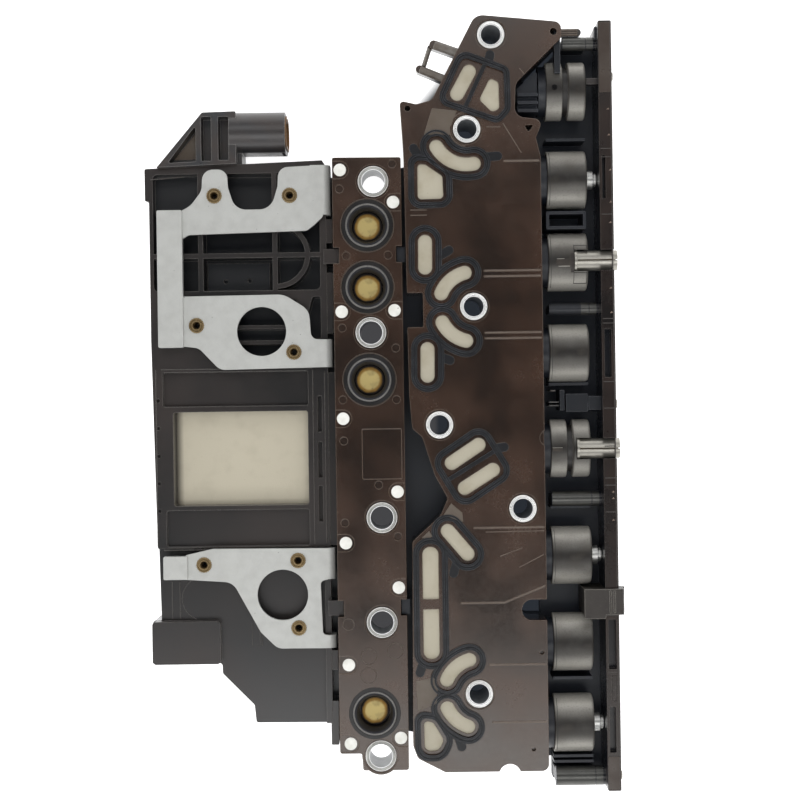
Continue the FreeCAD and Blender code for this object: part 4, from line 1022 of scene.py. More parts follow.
class FinishShelf:
    """Materials made so far, one for each finish."""

    def __init__(self) -> None:
        """Starts with an empty shelf."""
        self.made: Dict[str, bpy.types.Material] = {}

    def take(self, finish: Finish) -> bpy.types.Material:
        """The material of a finish, made on its first use.

        Args:
            finish: the finish that is asked for.

        Returns:
            Its material.
        """
        if finish.name not in self.made:
            self.made[finish.name] = finish.material()
        return self.made[finish.name]


# Mesh making


def along_arc(
    centre: Place, radius: float, start: float, stop: float, steps: int = 24
) -> List[Place]:
    """Places along an arc.

    Args:
        centre: its centre in millimetres.
        radius: its radius in millimetres.
        start: first angle in degrees.
        stop: last angle in degrees.
        steps: how many stretches it has.

    Returns:
        The places from start to stop.
    """
    x, y = centre
    turns = [math.radians(start + (stop - start) * step / steps) for step in range(steps + 1)]
    return [(x + radius * math.cos(turn), y + radius * math.sin(turn)) for turn in turns]


def around(centre: Place, radius: float, count: int = 48) -> List[Place]:
    """Places round a whole circle."""
    return along_arc(centre, radius, 0.0, 360.0, count)[:-1]


def rectangle(left: float, low: float, right: float, high: float) -> List[Place]:
    """Corners of a rectangle."""
    return [(left, low), (right, low), (right, high), (left, high)]


class Axis(Enum):
    """Axis that a profile is turned round."""

    UPRIGHT = "upright"
    ACROSS = "across"


class Form:
    """A mesh in the making, whose points are given in millimetres."""

    def __init__(self) -> None:
        """Starts empty."""
        self.mesh = bmesh.new()

    def loop(self, points: Sequence[Point]) -> List[bmesh.types.BMVert]:
        """Adds a ring of points."""
        return [self.mesh.verts.new(Vector(point) * MILLIMETRE) for point in points]

    def band(self, first: Ring, second: Ring) -> None:
        """Joins two rings of equal count with faces.

        Args:
            first: one ring.
            second: the other ring.
        """
        for i in range(len(first)):
            j = (i + 1) % len(first)
            self.mesh.faces.new((first[i], first[j], second[j], second[i]))

    def prism(self, outline: Sequence[Place], low: float, high: float) -> None:
        """Adds an upright prism over an outline.

        Args:
            outline: its corners, in order.
            low: height of its foot.
            high: height of its top.
        """
        foot = self.loop([(x, y, low) for x, y in outline])
        top = self.loop([(x, y, high) for x, y in outline])
        self.band(foot, top)
        self.mesh.faces.new(tuple(reversed(foot)))
        self.mesh.faces.new(top)

    def ridge(
        self, path: Sequence[Place], width: float, low: float, high: float, closed: bool = False
    ) -> None:
        """Adds a ridge with sloping sides along a path.

        Args:
            path: the middle of the ridge.
            width: width of its foot, twice that of its crest.
            low: height of its foot.
            high: height of its crest.
            closed: whether the path runs round to its start.
        """
        count = len(path)
        rings = []
        for i, place in enumerate(path):
            before = Vector(path[i - 1] if closed or i > 0 else place)
            after = Vector(path[(i + 1) % count] if closed or i < count - 1 else place)
            along = (after - before).normalized()
            side = Vector((-along.y, along.x)) * width / 2
            here = Vector(place)
            foot = ((here - side, low), (here + side, low))
            crest = ((here + side / 2, high), (here - side / 2, high))
            rings.append(self.loop([(point.x, point.y, level) for point, level in foot + crest]))
        for first, second in zip(rings, rings[1:] + rings[:1] if closed else rings[1:]):
            self.band(first, second)
        if not closed:
            self.mesh.faces.new(tuple(reversed(rings[0])))
            self.mesh.faces.new(rings[-1])

    def turned(
        self,
        profile: Sequence[Place],
        centre: Point,
        axis: Axis = Axis.UPRIGHT,
        count: int = 48,
        knurl: float = 0.0,
    ) -> None:
        """Turns a closed profile round an axis.

        Args:
            profile: (radius, distance along the axis) of each corner.
            centre: where the axis starts.
            axis: upright, or across the module along X.
            count: how many stretches the circle has.
            knurl: how far every second stretch is drawn in, as a share of the radius.
        """
        rings = []
        for step in range(count):
            turn = 2 * math.pi * step / count
            draw = 1.0 - knurl * (step % 2)
            points = []
            for radius, distance in profile:
                across, up = radius * draw * math.cos(turn), radius * draw * math.sin(turn)
                if axis is Axis.UPRIGHT:
                    points.append((centre[0] + across, centre[1] + up, centre[2] + distance))
                else:
                    points.append((centre[0] + distance, centre[1] + across, centre[2] + up))
            rings.append(self.loop(points))
        for i, ring in enumerate(rings):
            self.band(ring, rings[(i + 1) % count])


class Workshop:
    """Turns forms into dressed pieces that ride on a body of the frame."""

    def __init__(self, shelf: FinishShelf) -> None:
        """Takes the shelf of materials."""
        self.shelf = shelf

    def hand_over(
        self,
        form: Form,
        name: str,
        slot: str,
        finish: Finish,
        body: str = "module",
        softened: float = 0.0,
        origin: Point = (0.0, 0.0, 0.0),
    ) -> bpy.types.Object:
        """Makes the object of a form, dresses it and sets it on its body.

        Args:
            form: the finished form.
            name: name of the piece.
            slot: not used.
            finish: its finish.
            body: the body that it moves with.
            softened: radius of its rounded edges in millimetres.
            origin: where the object's own origin lies, in millimetres.

        Returns:
            The new object.
        """
        shift = Vector(origin) * MILLIMETRE
        bmesh.ops.remove_doubles(form.mesh, verts=form.mesh.verts, dist=WELD_DISTANCE)
        bmesh.ops.translate(form.mesh, verts=form.mesh.verts, vec=-shift)
        bmesh.ops.recalc_face_normals(form.mesh, faces=form.mesh.faces)
        mesh = bpy.data.meshes.new(name)
        form.mesh.to_mesh(mesh)
        form.mesh.free()
        mesh.materials.append(self.shelf.take(finish))
        piece = bpy.data.objects.new(name, mesh)
        piece.location = shift
        bpy.context.collection.objects.link(piece)
        if softened:
            rounding = piece.modifiers.new("rounded_edges", "BEVEL")
            rounding.width = softened * MILLIMETRE
            rounding.segments = 2
            rounding.limit_method = "ANGLE"
            rounding.harden_normals = True
        mesh.shade_smooth()
        mesh.set_sharp_from_angle(angle=math.radians(SMOOTH_ANGLE))
        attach(piece, body)
        LOG.info("%s: %d faces, rides on %s", name, len(mesh.polygons), body)
        return piece


# Sub-assemblies


@dataclass(frozen=True)
class Block:
    """An upright block: the sides of its rectangle across and along, its foot and its top."""

    left: float
    low: float
    right: float
    high: float
    foot: float
    top: float

    def add_to(self, form: Form) -> None:
        """Adds the block to a form."""
        form.prism(rectangle(self.left, self.low, self.right, self.high), self.foot, self.top)


@dataclass
class ManifoldTrim:
    """Mould marks on the port face, rounded tops of the hook and ribs of the corner's tip; all but
    the pads lighter as painted highlight.
    """

    workshop: Workshop
    pad_height: float = 0.25
    crease_width: float = 0.45
    crease_height: float = 0.16
    line_top: float = 0.35
    line_crest: float = 0.08
    line_stop: float = 62.6
    ringed_sleeve: int = 1
    ring_radius: float = 6.9
    ring_turn: Tuple[float, float] = (95.0, 265.0)
    hook_crown: float = 0.9
    tip_ribs: Tuple[float, ...] = (149.5, 150.4, 151.3)
    tip_span: Tuple[float, float] = (72.6, 80.0)
    tip_levels: Tuple[float, float] = (23.1, 23.6)
    tip_width: float = 0.8
    pads: Tuple[Tuple[Place, ...], ...] = (
        ((20.2, 118.6), (30.2, 117.4), (28.4, 113.3), (27.1, 110.1), (27.4, 107.8), (16.8, 107.9)),
        ((25.7, -39.6), (29.2, -42.6), (30.1, -43.4), (30.4, -47.2), (27.1, -46.1), (22.6, -44.2)),
        ((16.7, -50.6), (18.0, -52.6), (16.9, -53.8), (13.8, -53.3)),
        ((10.6, -110.6), (17.8, -109.2), (19.4, -113.6), (18.8, -119.6), (11.2, -122.6)),
    )
    creases: Tuple[Tuple[Place, ...], ...] = (
        ((48.5, 112.1), (55.7, 100.2)),
        ((41.8, 110.8), (47.5, 110.7)),
        ((55.4, 134.1), (57.4, 131.6)),
        ((39.3, -51.3), (62.8, -51.1)),
        ((44.9, -61.1), (53.9, -57.8)),
        ((52.6, -65.6), (62.4, -60.6)),
        ((11.0, 77.9), (17.6, 77.9)),
        ((11.0, 75.8), (17.6, 75.8)),
    )
    line_starts: Tuple[Place, ...] = (
        (40.3, 53.2), (40.3, 51.0), (40.3, 28.4), (40.3, 26.2),
        (48.8, 97.0), (34.8, -49.6), (40.3, -104.4), (41.3, -127.4),
    )
    bent_line: Tuple[Place, ...] = ((29.3, -79.6), (46.4, -79.6), (62.4, -73.2))
    hook: Tuple[Tuple[Tuple[Place, ...], float, float], ...] = (
        (((33.0, 140.8), (21.4, 145.0)), 3.5, 30.0),
        (((26.5, 130.6), (15.6, 135.2)), 3.1, 30.0),
        (((19.6, 143.8), (17.2, 136.8)), 1.7, 27.6),
    )

    def build(self) -> None:
        """Builds the marks of the port face, then the hook's tops and the tip's ribs."""
        self.build_marks()
        self.build_hook()

    def build_marks(self) -> None:
        """Builds the pads, then the creases with the crests of the mould lines and the half ring,
        lighter as a painted highlight.
        """
        pads = Form()
        for outline in self.pads:
            pads.prism(outline, PORT_FACE - DEEP_BITE, PORT_FACE + self.pad_height)
        self.workshop.hand_over(pads, "port_face_pads", "brown_moulding", PORT_PAD, softened=0.12)
        creases = Form()
        crease_top = PORT_FACE + self.crease_height
        for path in self.creases:
            creases.ridge(path, self.crease_width, PORT_FACE - BITE, crease_top)
        crest = PORT_FACE + self.line_top
        straight = [((x, y), (self.line_stop, y)) for x, y in self.line_starts]
        for path in (*straight, self.bent_line):
            creases.ridge(path, self.crease_width, crest - BITE, crest + self.line_crest)
        self.workshop.hand_over(creases, "port_face_creases", "brown_moulding", CREASE_HIGHLIGHT)
        ring = Form()
        arc = along_arc(SLEEVES[self.ringed_sleeve], self.ring_radius, *self.ring_turn)
        ring.ridge(arc, self.crease_width, PORT_FACE - BITE, crease_top)
        self.workshop.hand_over(ring, "port_face_ring", "brown_moulding", CREASE_HIGHLIGHT)

    def build_hook(self) -> None:
        """Builds the rounded tops of the hook and the ribs of the corner's tip, both in a pale
        painted highlight.
        """
        tops = Form()
        for path, width, level in self.hook:
            tops.ridge(path, width, level - BITE, level + self.hook_crown)
        self.workshop.hand_over(tops, "hook_tops", "brown_moulding", HOOK_HIGHLIGHT, softened=0.35)
        tip = Form()
        start, stop = self.tip_span
        for y in self.tip_ribs:
            tip.ridge(((start, y), (stop, y)), self.tip_width, *self.tip_levels)
        self.workshop.hand_over(tip, "corner_tip_ribs", "brown_moulding", CREASE_HIGHLIGHT, softened=0.1)


@dataclass(frozen=True)
class SleeveRow:
    """Bolt sleeves of one kind: places, finish of the rims, radii, top, and foot of the bore."""

    name: str
    places: Tuple[Place, ...]
    finish: Metal
    outer: float
    bore: float
    top: float
    foot: float


@dataclass
class SleeveRims:
    """Bright crowned rims in the mouths of the bolt sleeves, and duller walls below them."""

    workshop: Workshop
    crown: float = 0.45
    crown_flat: float = 0.16
    lining: float = 0.04
    shoulder: float = 0.3
    rows: Tuple[SleeveRow, ...] = (
        SleeveRow("manifold_sleeve", SLEEVES, RIM, 5.4, 4.0, top=36.3, foot=0.4),
        SleeveRow("strip_sleeve", STRIP_SLEEVES, WORN_RIM, 6.1, 4.6, top=34.3, foot=12.4),
    )

    def build(self) -> None:
        """Builds one piece of rims and one of linings for each row of sleeves."""
        for row in self.rows:
            rims, linings = Form(), Form()
            for x, y in row.places:
                rims.turned(self.rim(row), (x, y, row.top))
                linings.turned(self.wall(row), (x, y, row.top))
            rims_name, linings_name = f"{row.name}_rims", f"{row.name}_linings"
            self.workshop.hand_over(rims, rims_name, "sleeve_steel", row.finish, softened=0.08)
            self.workshop.hand_over(linings, linings_name, "sleeve_steel", BORE)

    def rim(self, row: SleeveRow) -> List[Place]:
        """Profile of a rim.

        Args:
            row: the kind of sleeve.

        Returns:
            Radius and height over the sleeve's top of each corner.
        """
        inner = row.bore + self.shoulder
        middle = (row.outer + inner) / 2
        return [
            (row.outer - 0.12, -0.2),
            (row.outer - 0.15, 0.0),
            (middle + self.crown_flat / 2, self.crown),
            (middle - self.crown_flat / 2, self.crown),
            (inner, -0.05),
            (inner, -0.2),
        ]

    def wall(self, row: SleeveRow) -> List[Place]:
        """Profile of a lining.

        Args:
            row: the kind of sleeve.

        Returns:
            Radius and height over the sleeve's top of each corner.
        """
        inner = row.bore + self.shoulder
        return [
            (row.bore - self.lining, row.foot - row.top),
            (row.bore + 0.01, row.foot - row.top),
            (row.bore + 0.01, -0.3),
            (inner + 0.05, 0.06),
            (inner, 0.1),
            (row.bore - self.lining, -0.3),
        ]


@dataclass
class SwitchTrim:
    """Pressed contact discs, and the moulded rings round the switches."""

    workshop: Workshop
    radius: float = 5.9
    floor: float = 25.2
    thickness: float = 1.2
    lip_seat: float = 0.6
    lip: Tuple[Place, ...] = ((7.9, -0.1), (8.25, 0.3), (8.6, 0.3), (8.9, -0.1))
    collar: Tuple[Place, ...] = ((8.95, -0.2), (10.4, -0.2), (10.4, 0.2), (8.95, 0.2))
    ringed: int = 3
    ring_radius: float = 10.7
    ring_width: float = 0.5
    ring_height: float = 0.3
    dial_width: float = 0.4
    dials: Tuple[Tuple[float, float, float], ...] = (
        (-8.1, -100.7, 3.1),
        (2.6, -98.6, 3.1),
        (-8.3, -108.3, 3.1),
        (-16.1, -87.8, 2.3),
    )

    def build(self) -> None:
        """Builds the four discs, the cups' lips and the strip's rings."""
        for number in range(1, len(SWITCHES) + 1):
            self.build_disc(number)
        self.build_lips()
        self.build_rings()

    def build_disc(self, number: int) -> None:
        """Builds a crowned disc in place of a plain one.

        Args:
            number: number of the switch, from 1.
        """
        x, y = SWITCHES[number - 1]
        top = self.thickness
        profile = (
            (0.0, 0.0),
            (self.radius, 0.0),
            (self.radius, top * 0.6),
            (self.radius - 0.5, top * 0.8),
            (4.9, top * 0.8),
            (4.4, top),
            (3.6, top),
            (3.2, top * 0.93),
            (0.0, top * 0.95),
        )
        disc = Form()
        disc.turned(profile, (x, y, self.floor))
        piece = self.workshop.hand_over(
            disc,
            f"contact_disc_{number}",
            "disc_brass",
            CONTACT,
            body=f"contact_{number}",
            softened=0.1,
            origin=(x, y, self.floor),
        )
        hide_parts(f"switch_disc_{number}")

    def build_lips(self) -> None:
        """Builds the lips of the cups, shiny with a painted sheen, and the dark collars round them.
        """
        lips, collars = Form(), Form()
        for x, y in SWITCHES:
            lips.turned(self.lip, (x, y, STRIP_TOP + self.lip_seat))
            collars.turned(self.collar, (x, y, STRIP_TOP))
        self.workshop.hand_over(lips, "switch_lips", "seal_rubber", LIP, softened=0.12)
        self.workshop.hand_over(collars, "switch_collars", "seal_rubber", COLLAR, softened=0.15)

    def build_rings(self) -> None:
        """Builds the moulded rings round the upper switches, lighter as a painted highlight, and
        the small dials of the strip.
        """
        rings = Form()
        foot = STRIP_TOP - DEEP_BITE
        for place in SWITCHES[: self.ringed]:
            ring = around(place, self.ring_radius, 64)
            rings.ridge(ring, self.ring_width, foot, STRIP_TOP + self.ring_height, closed=True)
        for x, y, radius in self.dials:
            dial = around((x, y), radius)
            crest = STRIP_TOP + self.ring_height / 2
            rings.ridge(dial, self.dial_width, foot, crest, closed=True)
        self.workshop.hand_over(rings, "strip_rings", "brown_moulding", PAD_BROWN)


@dataclass
class KnurledInserts:
    """Turned brass inserts with a knurled, ringed flange and a chamfered bore."""

    workshop: Workshop
    flange_radius: float = 3.2
    flange_height: float = 0.7
    body_radius: float = 2.3
    bore: float = 1.3
    length: float = 10.0
    stretches: int = 40
    knurl: float = 0.07

    def build(self) -> None:
        """Builds the seven inserts as one piece, in place of the plain ones."""
        form = Form()
        top = self.flange_height
        profile = (
            (self.bore, -self.length),
            (self.body_radius, -self.length),
            (self.body_radius, 0.0),
            (self.flange_radius, 0.0),
            (self.flange_radius, top * 0.5),
            (self.flange_radius - 0.3, top),
            (self.flange_radius - 0.5, top),
            (self.flange_radius - 0.65, top * 0.1),
            (self.flange_radius - 0.95, top * 0.1),
            (self.flange_radius - 1.1, top),
            (self.bore + 0.4, top),
            (self.bore, top * 0.1),
        )
        for x, y in INSERTS:
            place = (x, y, BRACKET_TOP)
            form.turned(profile, place, count=self.stretches, knurl=self.knurl)
        piece = self.workshop.hand_over(form, "knurled_inserts", "insert_brass", BRASS)
        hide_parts("threaded_inserts")


@dataclass(frozen=True)
class CanPatch:
    """Part of a can's round side: the can, from 0, its ends along X, its edges off the middle."""

    can: int
    start: float
    stop: float
    low: float
    high: float


@dataclass
class CanMarks:
    """Scores, slots, waists, vent and studs of the solenoid cans."""

    workshop: Workshop
    radius: float = 11.8
    proud: float = 0.06
    patch_step: float = 0.5
    line_width: float = 0.22
    score: Tuple[float, float] = (0.9, 1.1)
    score_reach: float = 10.6
    waist: Tuple[float, float] = (9.35, 9.52)
    waist_start: float = 6.7
    waist_width: float = 2.2
    pin_collar: Tuple[Place, ...] = ((4.15, 0.0), (4.7, 0.0), (4.7, 1.1), (4.15, 1.1))
    pin_collar_start: float = 76.9
    vent_place: Place = (69.8, SOLENOIDS[0] + 0.2)
    vent_radius: float = 0.8
    vent_depth: float = 0.3
    vent_rim: Tuple[Place, ...] = ((0.8, 0.0), (1.15, 0.0), (1.1, 0.2), (0.9, 0.2))
    panels: Tuple[CanPatch, ...] = (
        CanPatch(2, start=76.6, stop=82.0, low=3.2, high=6.2),
        CanPatch(2, start=76.6, stop=82.0, low=-9.2, high=-4.8),
    )
    slots: Tuple[CanPatch, ...] = (
        CanPatch(2, start=69.6, stop=76.4, low=-2.2, high=0.6),
        CanPatch(2, start=75.4, stop=76.8, low=-4.8, high=3.0),
        CanPatch(4, start=67.0, stop=71.0, low=-1.0, high=0.4),
    )
    slot_rims: Tuple[CanPatch, ...] = (
        CanPatch(2, start=69.8, stop=72.8, low=0.6, high=0.8),
        CanPatch(2, start=70.4, stop=75.0, low=-2.4, high=-2.2),
        CanPatch(4, start=67.0, stop=71.0, low=0.4, high=0.6),
    )
    stud: Tuple[Place, ...] = (
        (3.3, 0.0),
        (3.65, 0.0),
        (3.8, 0.1),
        (3.8, 2.9),
        (3.65, 3.0),
        (2.35, 3.0),
        (2.35, 3.35),
        (2.8, 3.45),
        (2.8, 4.15),
        (2.6, 4.3),
        (2.25, 4.3),
        (2.25, 2.9),
        (3.3, 2.9),
    )

    def build(self) -> None:
        """Builds the marks, the waists and collars, the vent and the studs."""
        self.build_marks()
        self.build_collars()
        self.build_vent()
        self.build_studs()

    def add_patch(self, form: Form, patch: CanPatch) -> None:
        """Adds a thin curved patch on a can.

        Args:
            form: the form that takes it.
            patch: the part of the can that it covers.
        """
        steps = max(2, int((patch.high - patch.low) / self.patch_step))
        section = (
            (DEEP_BITE, patch.start),
            (DEEP_BITE, patch.stop),
            (-self.proud, patch.stop),
            (-self.proud, patch.start),
        )
        rings = []
        for step in range(steps + 1):
            side = patch.low + (patch.high - patch.low) * step / steps
            up = math.sqrt(self.radius ** 2 - side ** 2)
            points = []
            for reach, x in section:
                share = (self.radius - reach) / self.radius
                points.append((x, SOLENOIDS[patch.can] + side * share, SOLENOID_AXIS + up * share))
            rings.append(form.loop(points))
        for first, second in zip(rings, rings[1:]):
            form.band(first, second)
        form.mesh.faces.new(tuple(reversed(rings[0])))
        form.mesh.faces.new(rings[-1])

    def add_outline(self, form: Form, panel: CanPatch) -> None:
        """Adds the outline of a curved panel.

        Args:
            form: the form that takes it.
            panel: the part of the can that it runs round.
        """
        line = self.line_width
        inner = replace(panel, start=panel.start + line, stop=panel.stop - line)
        for side in (
            replace(panel, stop=panel.start + line),
            replace(panel, start=panel.stop - line),
            replace(inner, high=panel.low + line),
            replace(inner, low=panel.high - line),
        ):
            self.add_patch(form, side)

    def build_marks(self) -> None:
        """Builds the dark scores, the slots and the slots' bright rims."""
        scores = Form()
        for panel in self.panels:
            self.add_outline(scores, panel)
        start, stop = (CAN_START + reach for reach in self.score)
        for can in range(len(SOLENOIDS)):
            if can not in WAISTED:
                reach = self.score_reach
                self.add_patch(scores, CanPatch(can, start, stop, -reach, reach))
        self.workshop.hand_over(scores, "can_scores", "can_steel", SCORE)
        for name, patches, finish in (
            ("can_slots", self.slots, SLOT),
            ("can_slot_rims", self.slot_rims, PIN_STEEL),
        ):
            form = Form()
            for patch in patches:
                self.add_patch(form, patch)
            self.workshop.hand_over(form, name, "can_steel", finish)

    def build_collars(self) -> None:
        """Builds the dull linings of the waists, and the collars round the slotted pins."""
        waists = Form()
        inner, outer = self.waist
        width = self.waist_width
        profile = ((inner, 0.0), (outer, 0.0), (outer, width), (inner, width))
        for can in WAISTED:
            place = (CAN_START + self.waist_start, SOLENOIDS[can], SOLENOID_AXIS)
            waists.turned(profile, place, Axis.ACROSS)
        self.workshop.hand_over(waists, "can_waists", "can_steel", GROOVE)
        collars = Form()
        for can in PINNED:
            place = (self.pin_collar_start, SOLENOIDS[can], PIN_AXIS)
            collars.turned(self.pin_collar, place, Axis.ACROSS)
        name = "roll_pin_collars"
        self.workshop.hand_over(collars, name, "sleeve_steel", PIN_STEEL, softened=0.15)

    def build_vent(self) -> None:
        """Builds the small vent, a black disc of painted shade in place of the hole, with a raised
        rim in the first can's collar.
        """
        crown = SOLENOID_AXIS + self.radius
        rim = Form()
        rim.turned(self.vent_rim, (*self.vent_place, crown - DEEP_BITE), count=24)
        self.workshop.hand_over(rim, "can_vent_rim", "can_steel", VENT)
        # Painted shade: a black disc stands for the vent's hole
        hole = Form()
        circle = around(self.vent_place, self.vent_radius, 20)
        hole.prism(circle, crown - self.vent_depth, crown + self.proud)
        self.workshop.hand_over(hole, "can_vent", "can_steel", VENT)

    def build_studs(self) -> None:
        """Builds turned shells with two raised collars on the studs that stand out of the cans."""
        studs = Form()
        for can in STUDDED:
            studs.turned(self.stud, (CAN_STOP, SOLENOIDS[can], SOLENOID_AXIS), Axis.ACROSS)
        self.workshop.hand_over(studs, "stud_shells", "sleeve_steel", STUD)


@dataclass
class FrameTrim:
    """Steps in a lighter painted highlight, chips and end pads on the bar that closes the solenoid
    row.
    """

    workshop: Workshop
    step_inset: float = 0.5
    step_width: float = 0.45
    step_height: float = 0.22
    steps: Tuple[float, ...] = (
        102.0, 98.6, 75.6, 33.6, 31.8, 8.2, -2.4,
        -17.7, -30.5, -33.4, -44.2, -85.9, -108.6, -142.4,
    )
    edge_inset: float = 0.55
    edge_width: float = 0.5
    edges: Tuple[Tuple[float, float], ...] = ((152.6, -74.0), (-87.4, -155.8))
    pad_inset: float = 0.3
    pad_height: float = 0.2
    pads: Tuple[Tuple[float, float], ...] = ((124.6, 152.8), (-155.8, -142.6))
    chip: Tuple[Place, ...] = ((-0.55, -0.2), (0.55, -0.1), (0.1, 0.55))
    chip_height: float = 0.18
    chips: Tuple[Place, ...] = (
        (91.0, 117.8),
        (91.2, 107.4),
        (91.6, 93.3),
        (91.6, 80.4),
        (91.4, 72.2),
        (91.2, 45.8),
        (91.3, 36.0),
        (91.0, -36.2),
        (91.0, -38.8),
        (90.9, -47.5),
    )

    def build(self) -> None:
        """Builds the steps with the outer edge, the pads and the chips."""
        foot = FRAME_TOP - DEEP_BITE
        # Painted highlight: the steps and outer edge are lighter than the frame
        steps = Form()
        top = FRAME_TOP + self.step_height
        for y in self.steps:
            path = ((FRAME_FACE + self.step_inset, y), (FRAME_BACK - self.step_inset, y))
            steps.ridge(path, self.step_width, foot, top)
        edge = FRAME_BACK - self.edge_inset
        for start, stop in self.edges:
            steps.ridge(((edge, start), (edge, stop)), self.edge_width, foot, top)
        self.workshop.hand_over(steps, "frame_steps", "brown_moulding", STEP_LINE_LIGHT_AND_SHADE)
        pads = Form()
        left, right = FRAME_FACE + self.pad_inset, FRAME_BACK - self.pad_inset
        for low, high in self.pads:
            pads.prism(rectangle(left, low, right, high), foot, FRAME_TOP + self.pad_height)
        self.workshop.hand_over(pads, "frame_pads", "brown_moulding", PAD_BROWN, softened=0.15)
        chips = Form()
        for x, y in self.chips:
            outline = [(x + across, y + along) for across, along in self.chip]
            chips.prism(outline, foot, FRAME_TOP + self.chip_height)
        self.workshop.hand_over(chips, "frame_chips", "brown_moulding", CHIP)


@dataclass
class TrayTrim:
    """Glossy shells of the spacer posts, pin linings, plates and clips of the solenoid tray."""

    workshop: Workshop
    posts: Tuple[Tuple[float, float, float], ...] = (
        (145.8, 2.7, 73.8),
        (38.1, 2.5, 79.8),
        (-39.1, 3.0, 67.1),
        (-151.8, 3.9, 67.3),
    )
    post_height: float = 22.0
    joint: float = 83.1
    joint_gap: float = 0.2
    end_gap: float = 1.4
    shell: float = 0.08
    lining_radius: float = 3.0
    lining_start: float = 77.2
    lining_length: float = 15.4
    plates: Tuple[Block, ...] = (
        Block(73.0, -3.8, 82.0, 3.6, foot=24.2, top=25.3),
        Block(82.2, -3.1, FRAME_FACE + 0.1, 2.5, foot=24.0, top=25.1),
        Block(70.6, -3.2, 72.6, 5.2, foot=6.3, top=24.4),
        Block(69.7, 132.6, 72.2, 151.0, foot=25.0, top=31.6),
        Block(86.4, 146.8, FRAME_FACE + 0.1, 152.0, foot=20.0, top=27.0),
    )
    clips: Tuple[Block, ...] = (
        Block(83.0, 129.0, FRAME_FACE + 0.2, 131.6, foot=20.0, top=24.6),
        Block(66.2, -1.4, 70.2, -0.9, foot=6.3, top=24.8),
        Block(66.2, 0.0, 70.2, 0.5, foot=6.3, top=24.8),
        Block(66.8, 4.6, 69.0, 5.2, foot=6.3, top=24.2),
    )

    def build(self) -> None:
        """Builds the shells, the plates, the linings and the clips."""
        self.build_shells()
        plates = Form()
        for block in self.plates:
            block.add_to(plates)
        self.workshop.hand_over(plates, "tray_plates", "black_moulding", SLATE, softened=0.25)
        linings = Form()
        radius, length = self.lining_radius, self.lining_length
        profile = ((0.0, 0.0), (radius, 0.0), (radius, length), (0.0, length))
        for can in PINNED:
            place = (self.lining_start, SOLENOIDS[can], PIN_AXIS)
            linings.turned(profile, place, Axis.ACROSS, 32)
        self.workshop.hand_over(linings, "roll_pin_linings", "sleeve_steel", LINING)
        clips = Form()
        for block in self.clips:
            block.add_to(clips)
        self.workshop.hand_over(clips, "tray_clips", "black_moulding", GREY, softened=0.2)

    def build_shells(self) -> None:
        """Builds the two halves of each post's shell."""
        shells = Form()
        for y, radius, start in self.posts:
            inner, outer = radius - DEEP_BITE, radius + self.shell
            near_length = self.joint - start - self.joint_gap
            far_length = FRAME_FACE - self.joint - self.end_gap
            for x, length in ((start, near_length), (self.joint + self.joint_gap, far_length)):
                profile = ((inner, 0.0), (outer, 0.0), (outer, length), (inner, length))
                shells.turned(profile, (x, y, self.post_height), Axis.ACROSS)
        self.workshop.hand_over(shells, "post_shells", "black_moulding", POST)


@dataclass
class HousingTrim:
    """Panel lines of the control unit's housing, and painted shadows along the bends of its
    brackets.
    """

    workshop: Workshop
    deck: float = 22.0
    line_width: float = 0.6
    wall_line_height: float = 0.25
    deck_line_height: float = 0.3
    mark_width: float = 0.5
    arc_centre: Place = (-74.9, -77.7)
    arc_radius: float = 9.0
    arc_turn: Tuple[float, float] = (118.0, 250.0)
    arc_height: float = 0.25
    panel: Tuple[float, float, float, float] = (-55.6, -97.0, -52.4, -88.0)
    panel_height: float = 0.2
    fold_height: float = 0.05
    wall_lines: Tuple[Tuple[Place, Place], ...] = (
        ((-94.0, 92.6), (-80.4, 93.6)),
        ((-93.0, 15.6), (-93.0, -56.2)),
        ((-90.8, 15.6), (-29.6, 15.6)),
        ((-29.4, 14.8), (-29.4, -55.8)),
        ((-24.6, 14.0), (-24.6, -55.6)),
        ((-90.6, -57.6), (-29.8, -57.6)),
    )
    deck_lines: Tuple[Tuple[Place, Place], ...] = (
        ((-87.9, -70.6), (-87.9, -85.8)),
        ((-84.8, -70.6), (-84.8, -85.8)),
        ((-51.6, -86.8), (-51.6, -97.2)),
    )
    fold_shadows: Tuple[Tuple[Place, Place], ...] = (
        ((-84.5, 73.6), (-84.8, 26.0)),
        ((-80.9, -60.4), (-80.9, -68.8)),
    )

    def build(self) -> None:
        """Builds the raised lines, the marks of the lower deck and the painted shadows of the
        bends.
        """
        foot = self.deck - DEEP_BITE
        lines = Form()
        crest = WALL_TOP + self.wall_line_height
        for path in self.wall_lines:
            lines.ridge(path, self.line_width, WALL_TOP - DEEP_BITE, crest)
        for path in self.deck_lines:
            lines.ridge(path, self.line_width, foot, self.deck + self.deck_line_height)
        self.workshop.hand_over(lines, "housing_lines", "black_moulding", CHARCOAL)
        marks = Form()
        arc = along_arc(self.arc_centre, self.arc_radius, *self.arc_turn)
        marks.ridge(arc, self.mark_width, foot, self.deck + self.arc_height)
        panel = rectangle(*self.panel)
        marks.ridge(panel, self.mark_width, foot, self.deck + self.panel_height, closed=True)
        self.workshop.hand_over(marks, "housing_marks", "black_moulding", CHARCOAL)
        # Painted shadow: dark lines along the brackets' bends
        fold_shadows = Form()
        crest = BRACKET_TOP + self.fold_height
        for path in self.fold_shadows:
            fold_shadows.ridge(path, self.line_width, BRACKET_TOP - DEEP_BITE, crest)
        self.workshop.hand_over(fold_shadows, "bracket_fold_shadows", "bracket_aluminium", STEP_LINE_LIGHT_AND_SHADE)


